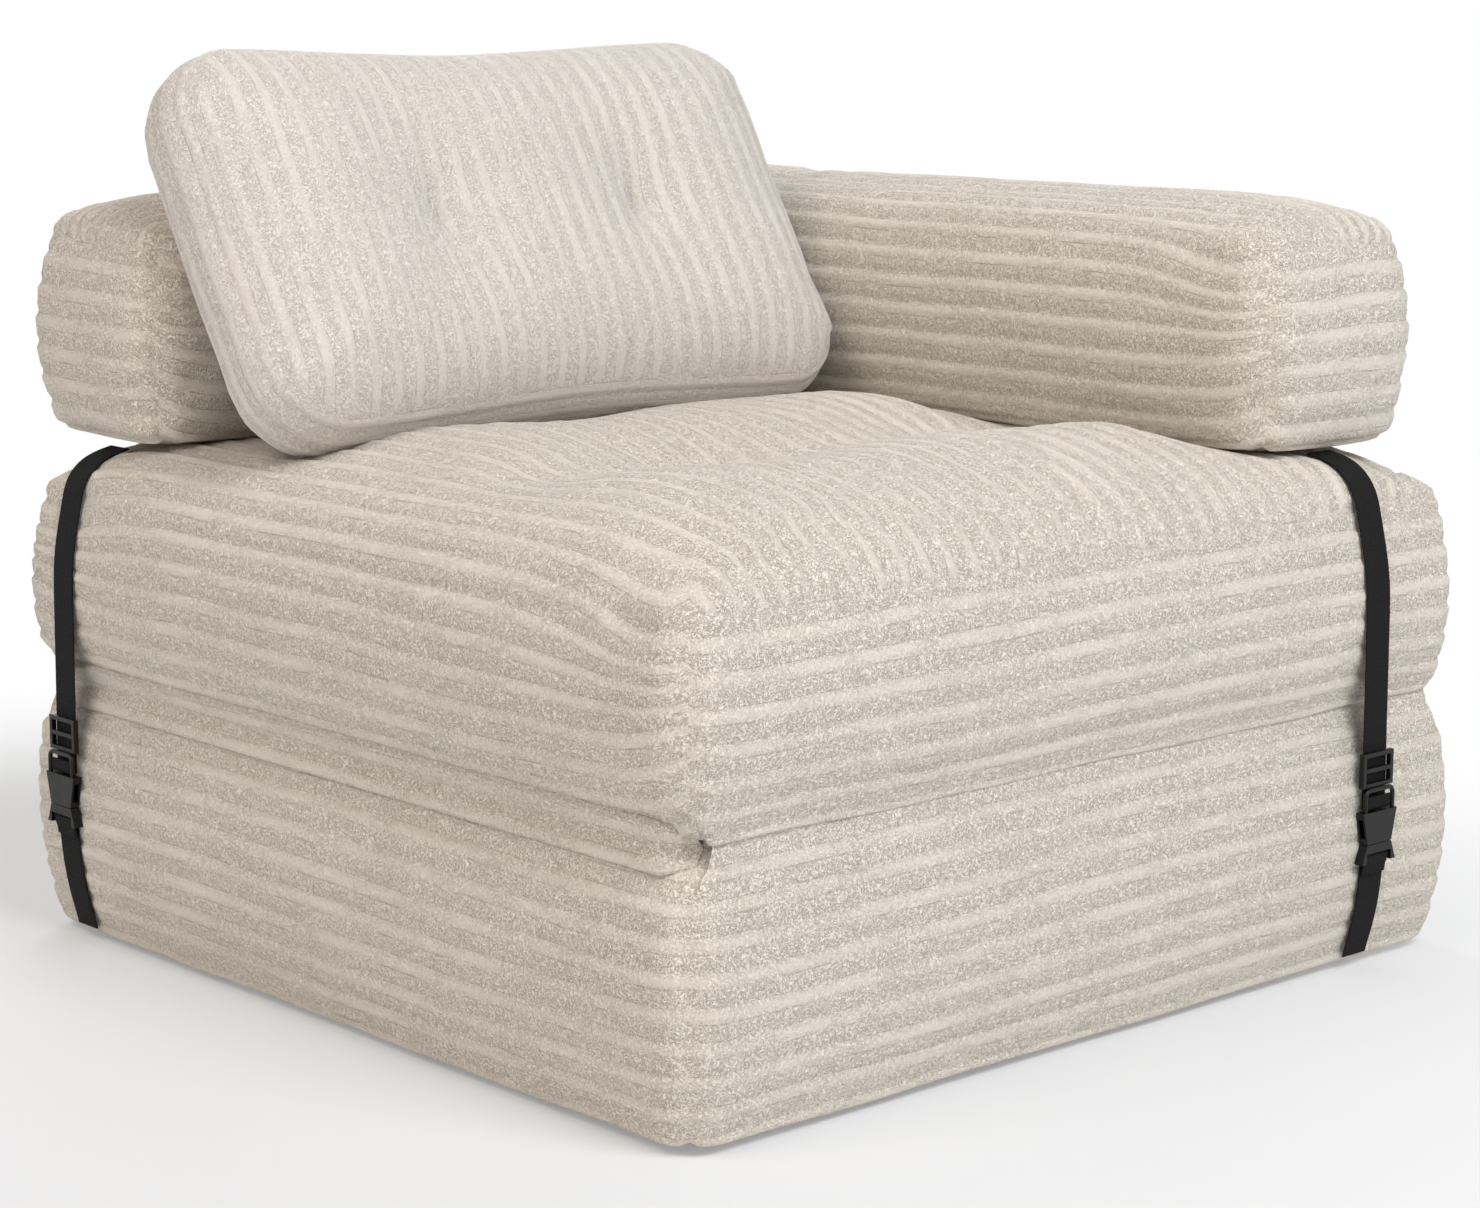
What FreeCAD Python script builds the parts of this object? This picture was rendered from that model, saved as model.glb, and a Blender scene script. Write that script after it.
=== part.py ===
import FreeCAD, Part
import os
import re

import Sketcher

# A low foam lounge chair that folds out into a bed: a seat pad stacked on a base pad and joined to it
# along the left edge, an L-shaped back and arm bolster, a tufted pillow and two buckled webbing straps.
# Millimetres, +Z up, front of the seat at -Y, fold at -X, origin on the floor under the pads' centre.

doc = FreeCAD.newDocument("FoldOutLounger")

# Driving dimensions

SIZES = {
    # pads
    "pad_width": 908, "pad_depth": 908, "pad_corner_radius": 58, "pad_edge_land": 2,
    "pad_side_bulge": 15, "pad_bottom_rise": 20, "pad_bottom_reach": 20,
    "base_height": 232.5, "base_top_rise": 20, "seat_height": 221.6, "seat_top_rise": 54,
    "bottom_panel_thickness": 1.5, "bottom_panel_margin": 40,
    # covers, foam and the room between soft pieces
    "cover_wall": 3, "foam_gap": 0.5, "rest_gap": 0.4,
    # how far a cushion's edge ring stops from its plan corner's centre, and its filling laps it
    "ring_core": 0.5, "fill_lap": 2,
    # seat tufts
    "seat_tuft_pitch": 300, "seat_tuft_depth": 32, "seat_tuft_reach": 115,
    "tuft_floor_radius": 7, "tie_radius": 5, "tie_height": 2.4, "tie_gap": 0.2,
    # bolster
    "bolster_thickness": 202, "bolster_height": 210, "bolster_corner_radius": 42, "bolster_edge_land": 8,
    "bolster_inner_radius": 30, "bolster_side_bulge": 9, "bolster_top_rise": 32,
    "bolster_bottom_rise": 18, "bolster_bottom_reach": 22,
    "bolster_left_inset": 18, "bolster_front_inset": 37, "bolster_right_inset": 18.5,
    "bolster_back_overhang": 14,
    # pillow
    "pillow_room": 76, "pillow_arm_gap": 6, "pillow_height": 345, "pillow_boxing": 102,
    "pillow_corner_radius": 75, "pillow_edge_land": 12, "pillow_side_bulge": 11,
    "pillow_front_crown": 18, "pillow_back_crown": 14,
    "pillow_lean": 31,
    "pillow_tuft_pitch": 225, "pillow_tuft_depth": 30, "pillow_tuft_reach": 95,
    # fold gusset
    "gusset_thickness": 1.6, "gusset_gap": 0.3,
    # zips
    "zip_side_margin": 100, "pillow_zip_margin": 70, "tape_width": 26, "zip_end_margin": 12,
    "pillow_zip_rise": 95, "zip_cut_reach": 30,
    "slider_length": 14, "slider_width": 9, "slider_plate": 2.4,
    "lug_thickness": 1.2, "lug_spacing": 6, "bar_radius": 0.8, "bar_clearance": 0.3,
    "eye_wall": 0.9, "pull_length": 24, "pull_width": 5.2, "pull_thickness": 1.4,
    # straps and buckles
    "front_strap_inset": 125, "left_strap_inset": 77, "front_strap_rise": 20, "left_strap_rise": 30,
    "front_end_reach": 48, "left_end_reach": 34,
    "webbing_width": 32, "webbing_thickness": 1.6, "webbing_gap": 0.4,
    "lower_end_reach": 6, "tail_length": 15, "lower_tail_length": 26,
    "buckle_thickness": 9, "buckle_bar_radius": 2, "fold_clearance": 0.2, "loop_clearance": 0.5,
    "cut_margin": 1,
    "socket_bar_level": 145.5, "socket_body_top": 127, "socket_body_bottom": 98.5,
    "socket_shoulder_width": 46, "socket_mouth_width": 33, "socket_head_width": 41,
    "throat_width": 26, "throat_thickness": 5, "throat_roof": 3,
    "side_window_low": 103.5, "side_window_high": 121,
    "plug_bar_level": 86, "plug_base_top": 97.9, "plug_base_bottom": 81, "plug_base_width": 46,
    "guide_width": 6, "plug_clearance": 0.4, "latch_width": 4, "latch_offset": 9.2, "latch_length": 20,
    "adjuster_height": 31, "adjuster_rail": 4.4, "adjuster_bar": 4, "adjuster_thickness": 5.2,
}

sheet = doc.addObject("Spreadsheet::Sheet", "Sizes")
for row, (alias, value) in enumerate(SIZES.items(), start=1):
    sheet.set("A%d" % row, alias)
    sheet.set("B%d" % row, str(value))
    sheet.setAlias("B%d" % row, alias)
doc.recompute()

ALIAS = re.compile(r"\b(%s)\b" % "|".join(SIZES))


def words(text):
    """The expression for a sum written with the sheet's aliases."""
    return ALIAS.sub(r"Sizes.\1", str(text))


def value_of(text):
    """The sum's present value as a number."""
    return float(sheet.evalExpression(words(text)))


def bind(thing, **sums):
    """Tie properties to the sheet; a double underscore stands for a dot."""
    for name, text in sums.items():
        thing.setExpression(name.replace("__", "."), words(text))


# Derived levels and places

BASE_BOTTOM = "bottom_panel_thickness"
BASE_TOP = "(bottom_panel_thickness + base_height)"
SEAT_BOTTOM = "(bottom_panel_thickness + base_height + rest_gap)"
SEAT_TOP = "(bottom_panel_thickness + base_height + rest_gap + seat_height)"
BOLSTER_BOTTOM = "(%s + rest_gap)" % SEAT_TOP
BOLSTER_TOP = "(%s + bolster_height)" % BOLSTER_BOTTOM
BOLSTER_LEFT = "(-pad_width / 2 + bolster_left_inset)"
BOLSTER_RIGHT = "(pad_width / 2 - bolster_right_inset)"
BOLSTER_FRONT = "(-pad_depth / 2 + bolster_front_inset)"
BOLSTER_BACK = "(pad_depth / 2 + bolster_back_overhang)"
BOLSTER_ARM_INNER = "(%s - bolster_thickness)" % BOLSTER_RIGHT
BOLSTER_BACK_INNER = "(%s - bolster_thickness)" % BOLSTER_BACK
PILLOW_X, PILLOW_Y = "((pad_width - bolster_thickness - pillow_room) / 2)", "(pillow_height / 2)"
PILLOW_MIDDLE = "(%s - bolster_side_bulge - pillow_arm_gap - pillow_side_bulge - %s)" % (
    BOLSTER_ARM_INNER, PILLOW_X)
ZIP_HALF = "(pad_width / 2 - zip_side_margin)"
PILLOW_ZIP_HALF = "(%s - pillow_zip_margin)" % PILLOW_X
CAVITY = "-cover_wall"
CORE = "-(cover_wall + foam_gap)"


def arc_to_flat(reach, rise):
    """Radius of an arc that climbs by rise over reach and ends level."""
    return "((%s)^2 + (%s)^2) / (2 * (%s))" % (reach, rise, rise)


def arc_on_chord(chord, sagitta):
    """Radius of an arc of this sagitta on a chord."""
    return "((%s)^2 / 4 + (%s)^2) / (2 * (%s))" % (chord, sagitta, sagitta)


# Sketch helpers

def plane_of(body, role):
    return next(feature for feature in body.Origin.OriginFeatures if feature.Role == role)


def new_body(label):
    body = doc.addObject("PartDesign::Body", label)
    body.Label = label
    return body


def new_sketch(body, role, x="0", level="0"):
    """A sketch on an origin plane, shifted by x in the plane and by level along its normal."""
    sketch = body.newObject("Sketcher::SketchObject", "Sketch")
    sketch.AttachmentSupport = [(plane_of(body, role), "")]
    sketch.MapMode = "FlatFace"
    bind(sketch, AttachmentOffset__Base__x=x, AttachmentOffset__Base__z=level)
    return sketch


def arc_between(start, end, radius, turn):
    """The arc under a half circle from start to end that turns left or right, and whether it is reversed."""
    chord = end.sub(start)
    across = FreeCAD.Vector(-chord.y, chord.x, 0).normalize()
    rise = max(radius ** 2 - chord.Length ** 2 / 4, 0) ** 0.5
    centre = (start + end) * 0.5 + across * (rise if turn == "left" else -rise)
    first, last = (start, end) if turn == "left" else (end, start)
    circle = Part.Circle(centre, FreeCAD.Vector(0, 0, 1), radius)
    return Part.ArcOfCircle(circle, circle.parameter(first), circle.parameter(last)), turn == "right"


def draw_outline(sketch, corners):
    """A closed outline. A corner is (x, y), or (x, y, turn, radius) where an arc leads on to the next one."""
    spots = [FreeCAD.Vector(value_of(c[0]), value_of(c[1]), 0) for c in corners]
    starts, ends = [], []
    for i, corner in enumerate(corners):
        follower = spots[(i + 1) % len(spots)]
        if len(corner) == 2:
            geometry, is_reversed = Part.LineSegment(spots[i], follower), False
        else:
            geometry, is_reversed = arc_between(spots[i], follower, value_of(corner[3]), corner[2])
        index = sketch.addGeometry(geometry)
        starts.append((index, 2 if is_reversed else 1))
        ends.append((index, 1 if is_reversed else 2))
    for i, corner in enumerate(corners):
        sketch.addConstraint(Sketcher.Constraint("Coincident", *ends[i - 1], *starts[i]))
        for kind, place, text in (("DistanceX", spots[i].x, corner[0]), ("DistanceY", spots[i].y, corner[1])):
            number = sketch.addConstraint(Sketcher.Constraint(kind, -1, 1, *starts[i], place))
            sketch.setExpression("Constraints[%d]" % number, words(text))
        if len(corner) == 4:
            radius = Sketcher.Constraint("Radius", starts[i][0], value_of(corner[3]))
            number = sketch.addConstraint(radius)
            sketch.setExpression("Constraints[%d]" % number, words(corner[3]))


def add_pad(body, role, corners, length, level="0"):
    """Extrude an outline from a level along its plane's normal."""
    sketch = new_sketch(body, role, level=level)
    draw_outline(sketch, corners)
    pad = body.newObject("PartDesign::Pad", "Pad")
    pad.Profile = sketch
    bind(pad, Length=length)
    return pad


def rectangle(low_x, high_x, low_y, high_y):
    return [(low_x, low_y), (high_x, low_y), (high_x, high_y), (low_x, high_y)]


def new_box(name, low, high):
    """A box between two corners given in the sheet's words."""
    box = doc.addObject("Part::Box", name)
    for axis, side, start, end in zip("xyz", ("Length", "Width", "Height"), low, high):
        box.setExpression("Placement.Base.%s" % axis, words(start))
        box.setExpression(side, words("(%s) - (%s)" % (end, start)))
    return box


def new_cylinder_across(name, x_low, x_high, y, z, radius):
    """A cylinder along X."""
    cylinder = doc.addObject("Part::Cylinder", name)
    cylinder.Placement.Rotation = FreeCAD.Rotation(FreeCAD.Vector(0, 1, 0), 90)
    bind(cylinder, Radius=radius, Height="(%s) - (%s)" % (x_high, x_low),
         Placement__Base__x=x_low, Placement__Base__y=y, Placement__Base__z=z)
    return cylinder


def combine(kind, label, base, tool):
    """A Cut, Common or Fuse of two objects."""
    result = doc.addObject("Part::" + kind, label)
    result.Label = label
    result.Base = base
    result.Tool = tool
    return result


def fuse_all(label, pieces):
    result = doc.addObject("Part::MultiFuse", label)
    result.Label = label
    result.Shapes = pieces
    return result


# Cushions: an edge profile carried round the plan, with the middle filled in

class Profile:
    """The edge of a cushion: levels, edge roundings and side bulge, in the sheet's words."""

    def __init__(self, bottom, top, bottom_rise, bottom_reach, top_rise, bulge, radius, land):
        self.bottom, self.top = bottom, top
        self.bottom_rise, self.bottom_reach = bottom_rise, bottom_reach
        self.top_rise, self.bulge = top_rise, bulge
        self.radius = radius
        self.top_reach = "(%s - %s)" % (radius, land)
        self.low_seam = "(%s + %s)" % (bottom, bottom_rise)
        self.high_seam = "(%s - %s)" % (top, top_rise)
        self.middle = "((%s + %s) / 2)" % (self.low_seam, self.high_seam)
        self.side_radius = arc_on_chord("%s - %s" % (self.high_seam, self.low_seam), bulge)

    def top_radius(self, outset):
        return arc_to_flat("%s + (%s)" % (self.top_reach, outset), "%s + (%s)" % (self.top_rise, outset))

    def bottom_radius(self, outset):
        return arc_to_flat("%s + (%s)" % (self.bottom_reach, outset),
                           "%s + (%s)" % (self.bottom_rise, outset))

    def top_level_at(self, inset, outset):
        """Height of the top rounding at a distance inside the seam."""
        radius = self.top_radius(outset)
        return "(%s + (%s) - %s + sqrt((%s)^2 - (%s - (%s))^2))" % (
            self.top, outset, radius, radius, self.top_reach, inset)

    def bottom_level_at(self, inset, outset):
        """Height of the bottom rounding at a distance inside the seam."""
        radius = self.bottom_radius(outset)
        return "(%s - (%s) + %s - sqrt((%s)^2 - (%s - (%s))^2))" % (
            self.bottom, outset, radius, radius, self.bottom_reach, inset)

    def corners(self, seam, outset):
        """The closed profile at a seam plane on the +Y side."""
        inner = "%s - %s + ring_core" % (seam, self.radius)
        low = "%s - (%s)" % (self.bottom, outset)
        high = "%s + (%s)" % (self.top, outset)
        outer = "%s + (%s)" % (seam, outset)
        return [
            (inner, low),
            ("%s - %s" % (seam, self.bottom_reach), low, "left", self.bottom_radius(outset)),
            (outer, self.low_seam, "left", self.side_radius),
            (outer, self.high_seam, "left", self.top_radius(outset)),
            ("%s - %s" % (seam, self.top_reach), high),
            (inner, high),
        ]


def round_rectangle(half_x, half_y, radius):
    """A rounded plan that starts in the middle of its back edge and runs left round it."""
    low_x, low_y = "-(%s) + %s" % (half_x, radius), "-(%s) + %s" % (half_y, radius)
    high_x, high_y = "%s - %s" % (half_x, radius), "%s - %s" % (half_y, radius)
    return [
        ("0", half_y), (low_x, half_y, "left", radius),
        ("-(%s)" % half_x, high_y), ("-(%s)" % half_x, low_y, "left", radius),
        (low_x, "-(%s)" % half_y), (high_x, "-(%s)" % half_y, "left", radius),
        (half_x, low_y), (half_x, high_y, "left", radius),
        (high_x, half_y),
    ]


def bolster_plan(radius):
    """The L-shaped plan, from the middle of its back edge and left round it."""
    left, right, front, back = BOLSTER_LEFT, BOLSTER_RIGHT, BOLSTER_FRONT, BOLSTER_BACK
    arm, inner, turn = BOLSTER_ARM_INNER, BOLSTER_BACK_INNER, "bolster_inner_radius"
    return [
        ("0", back), ("%s + %s" % (left, radius), back, "left", radius),
        (left, "%s - %s" % (back, radius)), (left, "%s + %s" % (inner, radius), "left", radius),
        ("%s + %s" % (left, radius), inner), ("%s - %s" % (arm, turn), inner, "right", turn),
        (arm, "%s - %s" % (inner, turn)), (arm, "%s + %s" % (front, radius), "left", radius),
        ("%s + %s" % (arm, radius), front), ("%s - %s" % (right, radius), front, "left", radius),
        (right, "%s + %s" % (front, radius)), (right, "%s - %s" % (back, radius), "left", radius),
        ("%s - %s" % (right, radius), back),
    ]


def bolster_fill(inset):
    """The bolster's plan drawn in, with sharp corners and the inner turn cut across."""
    left, right = "%s + %s" % (BOLSTER_LEFT, inset), "%s - (%s)" % (BOLSTER_RIGHT, inset)
    front, back = "%s + %s" % (BOLSTER_FRONT, inset), "%s - (%s)" % (BOLSTER_BACK, inset)
    arm, inner = "%s + %s" % (BOLSTER_ARM_INNER, inset), "%s + %s" % (BOLSTER_BACK_INNER, inset)
    return [(left, inner), ("%s - bolster_inner_radius" % BOLSTER_ARM_INNER, inner),
            (arm, "%s - bolster_inner_radius" % BOLSTER_BACK_INNER), (arm, front),
            (right, front), (right, back), (left, back)]


def rectangle_fill(half_x, half_y, inset):
    x, y = "(%s - (%s))" % (half_x, inset), "(%s - (%s))" % (half_y, inset)
    return rectangle("-" + x, x, "-" + y, y)


def cushion(label, profile, plan, seam, fill, outset):
    """A solid cushion; outset swells it, or draws it in when negative."""
    body = new_body(label)
    add_pad(body, "XY_Plane", fill, "%s - %s + 2 * (%s)" % (profile.top, profile.bottom, outset),
            "%s - (%s)" % (profile.bottom, outset))
    spine = new_sketch(body, "XY_Plane")
    draw_outline(spine, plan)
    section = new_sketch(body, "YZ_Plane")
    draw_outline(section, profile.corners(seam, outset))
    edge = body.newObject("PartDesign::AdditivePipe", "Edge")
    edge.Profile = section
    edge.Spine = (spine, ["Edge%d" % (i + 1) for i in range(len(plan))])
    doc.recompute()
    return body


def add_tuft(body, x, y, top, depth, reach):
    """Draw the cover down to a sewn point with a rounded shoulder."""
    sketch = new_sketch(body, "XZ_Plane", x=x, level="-(%s)" % y)
    above = "%s + %s" % (top, depth)
    draw_outline(sketch, [
        ("0", "%s - %s" % (top, depth)),
        ("tuft_floor_radius", "%s - %s" % (top, depth), "right",
         arc_to_flat("%s - tuft_floor_radius" % reach, depth)),
        (reach, top), (reach, above), ("0", above),
    ])
    groove = body.newObject("PartDesign::Groove", "Tuft")
    groove.Profile = sketch
    groove.ReferenceAxis = (sketch, ["V_Axis"])
    groove.Angle = 360
    doc.recompute()


def tuft_tie(label, places, floor):
    """Sewn knots that hold the tufts down, one on each tuft's floor."""
    knots = []
    for number, (x, y) in enumerate(places, start=1):
        knot = doc.addObject("Part::Cylinder", "%s_knot_%d" % (label, number))
        bind(knot, Radius="tie_radius", Height="tie_height", Placement__Base__x=x, Placement__Base__y=y,
             Placement__Base__z="%s + tie_gap" % floor)
        knots.append(knot)
    return fuse_all(label, knots)


def cover_and_core(name, profile, plan, seam, fill, tufts=()):
    """The cover as a hollow shell, and the foam that fills it."""
    solids = {}
    for part, outset in (("outside", "0"), ("cavity", CAVITY), ("core", CORE)):
        body = cushion("%s_%s" % (name, part), profile, plan, seam, fill, outset)
        for x, y, depth, reach in tufts:
            add_tuft(body, x, y, "%s + (%s)" % (profile.top, outset), depth, reach)
        solids[part] = body
    shell = combine("Cut", name + "_shell", solids["outside"], solids["cavity"])
    return shell, solids["core"]


# Zips: a tape let into the cover, a slider on it and a pull that swings on the slider's bar

BAR_RISE = "(slider_plate + eye_wall + bar_radius + 2 * bar_clearance)"


def zip_slider(label):
    """Slider plate with two lugs and a bar; tape along X, outward +Y."""
    plate = new_box(label + "_plate", ("-slider_length / 2", "rest_gap", "-slider_width / 2"),
                    ("slider_length / 2", "rest_gap + slider_plate", "slider_width / 2"))
    lug_top = "rest_gap + %s + bar_radius + bar_clearance" % BAR_RISE
    lugs = []
    for side, name in (("-", "_left"), ("", "_right")):
        middle = "%s(lug_spacing / 2 + lug_thickness / 2)" % side
        lugs.append(new_box(label + name + "_lug",
                            ("%s - lug_thickness / 2" % middle, "rest_gap", "-bar_radius - bar_clearance"),
                            ("%s + lug_thickness / 2" % middle, lug_top, "bar_radius + bar_clearance")))
    bar = new_cylinder_across(label + "_bar", "-lug_spacing / 2 - lug_thickness / 2",
                              "lug_spacing / 2 + lug_thickness / 2", "rest_gap + %s" % BAR_RISE, "0",
                              "bar_radius")
    return fuse_all(label, [plate, bar] + lugs)


def zip_pull(label):
    """Pull tab hanging from the slider's bar by an eye."""
    half, level = "pull_width / 2", "rest_gap + %s" % BAR_RISE
    eye_radius = "bar_radius + bar_clearance + eye_wall"
    eye = new_cylinder_across(label + "_eye", "-" + half, half, level, "0", eye_radius)
    tab = new_box(label + "_tab", ("-" + half, "%s - pull_thickness / 2" % level, "-pull_length"),
                  (half, "%s + pull_thickness / 2" % level, "0"))
    hole = new_cylinder_across(label + "_hole", "-pull_width", "pull_width", level, "0",
                               "bar_radius + bar_clearance")
    return combine("Cut", label, fuse_all(label + "_blank", [eye, tab]), hole)


def zip_in_back(name, shell, seam, level):
    """Let a zip into a cover's back wall, half way up it."""
    half, reach = ZIP_HALF, "2 * cover_wall"
    slot = new_box(name + "_slot", ("-" + half, "%s - %s" % (seam, reach), "%s - tape_width / 2" % level),
                   (half, "%s + zip_cut_reach" % seam, "%s + tape_width / 2" % level))
    strip = new_box(name + "_strip",
                    ("-%s + rest_gap" % half, "%s - %s" % (seam, reach),
                     "%s - tape_width / 2 + rest_gap" % level),
                    ("%s - rest_gap" % half, "%s + zip_cut_reach" % seam,
                     "%s + tape_width / 2 - rest_gap" % level))
    cover = combine("Cut", name + "_cover", shell, slot)
    tape = combine("Common", name + "_zip_tape", shell, strip)
    return cover, tape


def place(thing, x, y, z, turn_axis=None, turn="0"):
    """Tie an object's place, and its turn about an axis, to the sheet."""
    if turn_axis is not None:
        thing.Placement.Rotation = FreeCAD.Rotation(turn_axis, value_of(turn))
        bind(thing, Placement__Rotation__Angle=turn)
    bind(thing, Placement__Base__x=x, Placement__Base__y=y, Placement__Base__z=z)


# Seat and base pads

HALF_X, HALF_Y = "(pad_width / 2)", "(pad_depth / 2)"
PAD_FILL = rectangle_fill(HALF_X, HALF_Y, "pad_corner_radius - fill_lap")
PAD_PLAN = round_rectangle(HALF_X, HALF_Y, "pad_corner_radius")

base_edge = Profile(BASE_BOTTOM, BASE_TOP, "pad_bottom_rise", "pad_bottom_reach", "base_top_rise",
                    "pad_side_bulge", "pad_corner_radius", "pad_edge_land")
seat_edge = Profile(SEAT_BOTTOM, SEAT_TOP, "pad_bottom_rise", "pad_bottom_reach", "seat_top_rise",
                    "pad_side_bulge", "pad_corner_radius", "pad_edge_land")

SIDES = ("-", "")
SEAT_TUFTS = [("%sseat_tuft_pitch / 2" % i, "%sseat_tuft_pitch / 2" % j) for i in SIDES for j in SIDES]

parts = []
base_shell, base_core = cover_and_core("base", base_edge, PAD_PLAN, HALF_Y, PAD_FILL)
seat_shell, seat_core = cover_and_core(
    "seat", seat_edge, PAD_PLAN, HALF_Y, PAD_FILL,
    [(x, y, "seat_tuft_depth", "seat_tuft_reach") for x, y in SEAT_TUFTS])
for name, shell, core, edge in (("base", base_shell, base_core, base_edge),
                                ("seat", seat_shell, seat_core, seat_edge)):
    core.Label = name + "_foam_core"
    parts += [core, *zip_in_back(name, shell, HALF_Y, edge.middle)]
parts.append(tuft_tie("seat_tuft_ties", SEAT_TUFTS, "%s - seat_tuft_depth" % SEAT_TOP))

PANEL_X = "(pad_width / 2 - bottom_panel_margin)"
PANEL_Y = "(pad_depth / 2 - bottom_panel_margin)"
PANEL_RADIUS = "(pad_corner_radius - bottom_panel_margin)"
bottom_panel = new_body("base_bottom_panel")
add_pad(bottom_panel, "XY_Plane", round_rectangle(PANEL_X, PANEL_Y, PANEL_RADIUS), "bottom_panel_thickness")
parts.append(bottom_panel)

# Fold gusset: the strip of cover that joins the two pads along the left edge

GUSSET_NEAR = "(-pad_width / 2 - gusset_gap)"
gusset = new_box("fold_gusset",
                 ("%s - gusset_thickness" % GUSSET_NEAR, "-pad_depth / 2 + pad_corner_radius",
                  base_edge.high_seam),
                 (GUSSET_NEAR, "pad_depth / 2 - pad_corner_radius", seat_edge.low_seam))
parts.append(gusset)

# Bolster: one L-shaped cover over a back foam and an arm foam

bolster_edge = Profile(BOLSTER_BOTTOM, BOLSTER_TOP, "bolster_bottom_rise", "bolster_bottom_reach",
                       "bolster_top_rise", "bolster_side_bulge", "bolster_corner_radius",
                       "bolster_edge_land")
bolster_shell, bolster_core = cover_and_core(
    "bolster", bolster_edge, bolster_plan("bolster_corner_radius"), BOLSTER_BACK,
    bolster_fill("bolster_corner_radius - fill_lap"))
parts += zip_in_back("bolster", bolster_shell, BOLSTER_BACK, bolster_edge.middle)
FOAM_SPLIT = "(%s - bolster_side_bulge)" % BOLSTER_BACK_INNER
behind = new_box("behind_split", ("-pad_width", FOAM_SPLIT, "0"),
                 ("pad_width", "pad_depth", "2 * %s" % BOLSTER_TOP))
ahead = new_box("ahead_of_split", ("-pad_width", "-pad_depth", "0"),
                ("pad_width", "%s - foam_gap" % FOAM_SPLIT, "2 * %s" % BOLSTER_TOP))
parts.append(combine("Common", "bolster_back_foam", bolster_core, behind))
parts.append(combine("Common", "bolster_arm_foam", bolster_core, ahead))

# Pillow: modelled lying on its back, then leant against the bolster

PILLOW_DEEP = "(pillow_back_crown + pillow_boxing + pillow_front_crown)"
PILLOW_REACH = "(pillow_corner_radius - pillow_edge_land)"
pillow_edge = Profile("0", PILLOW_DEEP, "pillow_back_crown", PILLOW_REACH, "pillow_front_crown",
                      "pillow_side_bulge", "pillow_corner_radius", "pillow_edge_land")
PILLOW_TUFTS = [("%spillow_tuft_pitch / 2" % side, "0") for side in SIDES]
pillow_shell, pillow_core = cover_and_core(
    "pillow", pillow_edge, round_rectangle(PILLOW_X, PILLOW_Y, "pillow_corner_radius"), PILLOW_Y,
    rectangle_fill(PILLOW_X, PILLOW_Y, "pillow_corner_radius - fill_lap"),
    [(x, y, "pillow_tuft_depth", "pillow_tuft_reach") for x, y in PILLOW_TUFTS])
pillow_core.Label = "pillow_filling"
PILLOW_ZIP = "(-%s + pillow_zip_rise)" % PILLOW_Y
pillow_slot = new_box("pillow_slot",
                      ("-" + PILLOW_ZIP_HALF, "%s - tape_width / 2" % PILLOW_ZIP, "-cover_wall"),
                      (PILLOW_ZIP_HALF, "%s + tape_width / 2" % PILLOW_ZIP, "2 * cover_wall"))
pillow_strip = new_box("pillow_strip",
                       ("-%s + rest_gap" % PILLOW_ZIP_HALF, "%s - tape_width / 2 + rest_gap" % PILLOW_ZIP,
                        "-cover_wall"),
                       ("%s - rest_gap" % PILLOW_ZIP_HALF, "%s + tape_width / 2 - rest_gap" % PILLOW_ZIP,
                        "2 * cover_wall"))
pillow_pieces = [
    combine("Cut", "pillow_cover", pillow_shell, pillow_slot),
    pillow_core,
    combine("Common", "pillow_zip_tape", pillow_shell, pillow_strip),
    tuft_tie("pillow_tuft_ties", PILLOW_TUFTS, "%s - pillow_tuft_depth" % PILLOW_DEEP),
]
parts += pillow_pieces
doc.recompute()

# The leant pillow stands on the seat and its back rests on the rounded front edge of the bolster's top
ACROSS = FreeCAD.Vector(1, 0, 0)
leant = pillow_shell.Shape.copy()
leant.Placement = FreeCAD.Placement(FreeCAD.Vector(), FreeCAD.Rotation(ACROSS, 90 - value_of("pillow_lean")))
sheet_row = len(SIZES) + 1
sheet.set("A%d" % sheet_row, "pillow_foot")
sheet.set("B%d" % sheet_row, str(round(-leant.optimalBoundingBox(False).ZMin, 3)))
sheet.setAlias("B%d" % sheet_row, "pillow_foot")
doc.recompute()
ALIAS = re.compile(r"\b(%s)\b" % "|".join([*SIZES, "pillow_foot"]))
PILLOW_Z = "(%s + rest_gap + pillow_foot)" % SEAT_TOP
EDGE_RADIUS = bolster_edge.top_radius("0")
EDGE_Y = "(%s + %s)" % (BOLSTER_BACK_INNER, bolster_edge.top_reach)
EDGE_Z = "(%s - %s)" % (BOLSTER_TOP, EDGE_RADIUS)
PILLOW_PLACE_Y = "(%s - ((%s - %s) * sin(pillow_lean * 1deg) + %s + rest_gap) / cos(pillow_lean * 1deg))" % (
    EDGE_Y, EDGE_Z, PILLOW_Z, EDGE_RADIUS)
for piece in pillow_pieces:
    place(piece, PILLOW_MIDDLE, PILLOW_PLACE_Y, PILLOW_Z, ACROSS, "90 - pillow_lean")

# Sliders and pulls, at the right-hand end of each zip

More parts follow.
